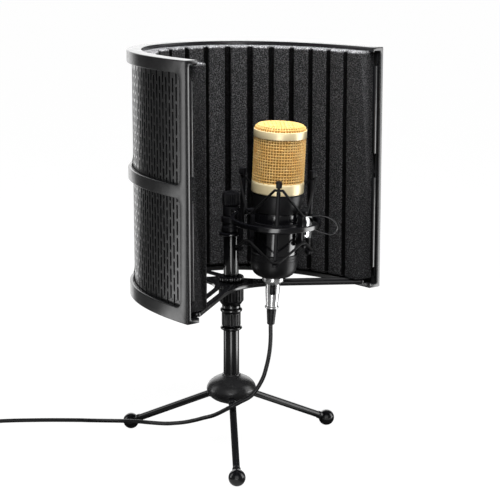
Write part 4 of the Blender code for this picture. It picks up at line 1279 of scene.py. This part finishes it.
def cable():
    """One lead, cut into stretches that start at the table's distances."""
    boot_end = Vector(CABLE_ROUTE[0])
    rise = (COLUMN.inverted() @ HOOP @ Vector((0.0, 0.0, -88.0))) - boot_end
    hanging = spline([boot_end + rise] + CABLE_ROUTE, 1.9)
    coil = spline([hanging[-1]] + coil_line(), 2.4)
    line = hanging[:-1] + coil
    run = [0.0]
    for a, b in zip(line, line[1:]):
        run.append(run[-1] + (b - a).length)
    ends = [start for _, start, _, _ in STRETCHES[1:]] + [run[-1]]
    jack = jack_pieces()
    for (name, start, first, second), end in zip(STRETCHES, ends):
        picked = [i for i in range(len(line)) if start - 1e-6 <= run[i] <= end + 1e-6]
        if picked[-1] < len(line) - 1:
            picked.append(picked[-1] + 1)
        points = [line[i] for i in picked]
        cord = loose(name, tube(points, CABLE_D / 2.0, 16), "jacket", COLUMN, 60.0)
        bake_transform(cord)
    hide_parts("cable", "cable_coil")


def jack_pieces():
    low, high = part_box("jack_plug")
    centre = (low + high) / 2.0
    tip_at = Vector((high.x, centre.y, centre.z))
    place = basis(tip_at, -UP, Vector((0.0, 1.0, 0.0)), Vector((-1.0, 0.0, 0.0)))
    tip = [(0.0, 0.0), (1.1, 0.5), (1.75, 2.2), (1.35, 3.4), (1.75, 4.2), (1.75, 6.6, 0.0), (1.6, 6.7),
           (1.6, 7.2), (1.75, 7.3), (1.75, 10.0), (1.6, 10.1), (1.6, 10.6), (1.75, 10.7), (1.75, 14.0),
           (3.6, 14.0), (4.2, 15.0), (4.2, 31.0), (3.0, 33.0), (0.0, 33.0)]
    metal = piece("jack_metal", turned(tip, 0.2, 40), "chrome", "tripod", place, ["jack_plug"])
    boot = [(0.0, 32.0), (3.2, 32.0)]
    for k in range(5):
        z = 33.2 + 1.5 * k
        r = 3.15 - 0.14 * k
        boot += [(r, z), (r, z + 1.0), (r - 0.35, z + 1.1), (r - 0.35, z + 1.4)]
    boot += [(2.5, 41.0), (0.0, 41.0)]
    sleeve = piece("jack_boot", turned(boot, 0.15, 40), "rubber", "tripod", place)
    return [metal, sleeve]


# ------------------------------------------------------------------ floor and light
# Soft panels that polished surfaces mirror: compass direction, half width in degrees, brightness.
FLOOR_PANELS = ((-131.0, 9.0, 4.6), (-38.0, 15.0, 6.5), (136.0, 8.0, 3.2), (76.0, 11.0, 1.5))
SKY_PANELS = ((-131.0, 24.0, 0.9), (-38.0, 15.0, 2.4), (136.0, 12.0, 1.4), (55.0, 28.0, 1.9))
BASE_GLOW = 0.10
AMBIENT = 0.10
FLOOR_GLOW = 0.98


FLOOR_FADE = (0.16, 0.42)
SKY_FADE = (0.80, 0.45)
LEAST_SHARE = 0.08
FLOOR_HALF_SIZE = 12.0
# Name, compass direction, distance, height, the height aimed at, width, tallness and power.
AREA_LIGHTS = (("front", -115.0, 1.5, 1.3, 0.26, 0.6, 0.6, 7.5),
               ("left", 175.0, 1.3, 0.7, 0.26, 0.5, 0.9, 2.0),
               ("top", -110.0, 0.22, 0.85, 0.32, 0.3, 0.3, 9.0))


def feed(tree, socket, source):
    """Sets a socket to a value, or links a node's output to it."""
    if isinstance(source, bpy.types.NodeSocket):
        tree.links.new(source, socket)
    else:
        socket.default_value = source


def worked(tree, kind, operation, *sources, output=0):
    """A maths node's output."""
    made = tree.nodes.new(kind)
    made.operation = operation
    for socket, source in zip(made.inputs, sources):
        feed(tree, socket, source)
    return made.outputs[output]


def eased(tree, value, from_min, from_max, to_min, to_max):
    """A value taken smoothly from one range to another."""
    made = tree.nodes.new("ShaderNodeMapRange")
    made.interpolation_type = "SMOOTHSTEP"
    for key, source in (("Value", value), ("From Min", from_min), ("From Max", from_max),
                        ("To Min", to_min), ("To Max", to_max)):
        feed(tree, made.inputs[key], source)
    return made.outputs["Result"]


def panels(tree, direction, table, read, near, far):
    """A brightness that depends on a vector's compass direction, and falls away between two values
    of its length (on the floor, seen from the middle) or of its height (in the sky)."""
    vector = "ShaderNodeVectorMath"
    flat = worked(tree, vector, "MULTIPLY", direction, (1.0, 1.0, 0.0))
    unit = worked(tree, vector, "NORMALIZE", flat)
    total = None
    for azimuth, half, bright in table:
        a = math.radians(azimuth)
        towards = worked(tree, vector, "DOT_PRODUCT", unit, (math.cos(a), math.sin(a), 0.0), output="Value")
        outer, inner = (math.cos(math.radians(share * half)) for share in (1.35, 0.6))
        panel = eased(tree, towards, outer, inner, BASE_GLOW if total is None else 0.0, bright)
        total = panel if total is None else worked(tree, "ShaderNodeMath", "ADD", total, panel)
    if read == "length":
        value = worked(tree, vector, "LENGTH", flat, output="Value")
    else:
        apart = tree.nodes.new("ShaderNodeSeparateXYZ")
        tree.links.new(direction, apart.inputs[0])
        value = apart.outputs["Z"]
    return worked(tree, "ShaderNodeMath", "MULTIPLY", total, eased(tree, value, near, far, LEAST_SHARE, 1.0))


def pick(tree, factor, other, value):
    """other where the factor is 0, value where it is 1."""
    mixed = tree.nodes.new("ShaderNodeMix")
    for key, source in (("Factor", factor), ("A", other), ("B", value)):
        feed(tree, mixed.inputs[key], source)
    return mixed.outputs["Result"]


def stage():
    data = bpy.data.meshes.new("floor")
    size = FLOOR_HALF_SIZE
    corners = [(-size, -size, 0), (size, -size, 0), (size, size, 0), (-size, size, 0)]
    data.from_pydata(corners, [], [(0, 1, 2, 3)])
    paper = Finish("pale_paper", 0.0, 0.9, (0.10, 0.10, 0.10))
    paper.color(paper.ramp(paper.noise(3.0), [(0.3, (0.095, 0.095, 0.095)), (0.7, (0.105, 0.105, 0.105))]))
    paper.set(Specular_IOR_Level=0.0, Emission_Color=(1.0, 1.0, 1.0, 1.0))
    rays = paper.node("ShaderNodeLightPath")
    glowing = panels(paper.tree, paper.place, FLOOR_PANELS, "length", *FLOOR_FADE)
    mirrored = pick(paper.tree, rays.outputs["Is Glossy Ray"], 0.0, glowing)
    glow = pick(paper.tree, rays.outputs["Is Camera Ray"], mirrored, FLOOR_GLOW)
    paper.link(glow, paper.shader.inputs["Emission Strength"])
    data.materials.append(paper.material)
    floor = bpy.data.objects.new("floor", data)
    bpy.context.scene.collection.objects.link(floor)


def area_light(name, azimuth, distance, height, target_height, width, tall, power):
    """A soft light at a compass direction round the column, aimed at a height on it."""
    data = bpy.data.lights.new(name, "AREA")
    data.energy = power
    data.shape = "RECTANGLE"
    data.size = width
    data.size_y = tall
    lamp = bpy.data.objects.new(name, data)
    a = math.radians(azimuth)
    lamp.location = axis_at + Vector((distance * math.cos(a), distance * math.sin(a), height))
    aim = axis_at + UP * target_height - lamp.location
    lamp.rotation_euler = aim.to_track_quat("-Z", "Y").to_euler()
    lamp.visible_glossy = False
    bpy.context.scene.collection.objects.link(lamp)


def lights():
    world = bpy.data.worlds.new("studio")
    bpy.context.scene.world = world
    world.use_nodes = True
    tree = world.node_tree
    background = tree.nodes["Background"]
    background.inputs["Color"].default_value = (1.0, 1.0, 1.0, 1.0)
    rays = tree.nodes.new("ShaderNodeLightPath")
    direction = tree.nodes.new("ShaderNodeTexCoord").outputs["Generated"]
    glowing = panels(tree, direction, SKY_PANELS, "height", *SKY_FADE)
    mirrored = pick(tree, rays.outputs["Is Glossy Ray"], AMBIENT, glowing)
    tree.links.new(pick(tree, rays.outputs["Is Camera Ray"], mirrored, 1.0), background.inputs["Strength"])
    for values in AREA_LIGHTS:
        area_light(*values)


# ------------------------------------------------------------------ everything
make_camera()
MATERIALS = make_materials()
OUTLINE = Outline()
cable()
shield_moulding()
slotted_sheet()
foam_lining()
foam_retainers()
bracket()
tripod()
column()
mount_base()
hoop_and_posts()
suspension()
clip()
woven_head()
microphone()
plug()
stage()
lights()
bpy.context.scene.view_settings.view_transform = "Standard"
inner = frame["nodes"]["inner_tube"]
inner.data.materials.clear()
inner.data.materials.append(MATERIALS["chrome"])
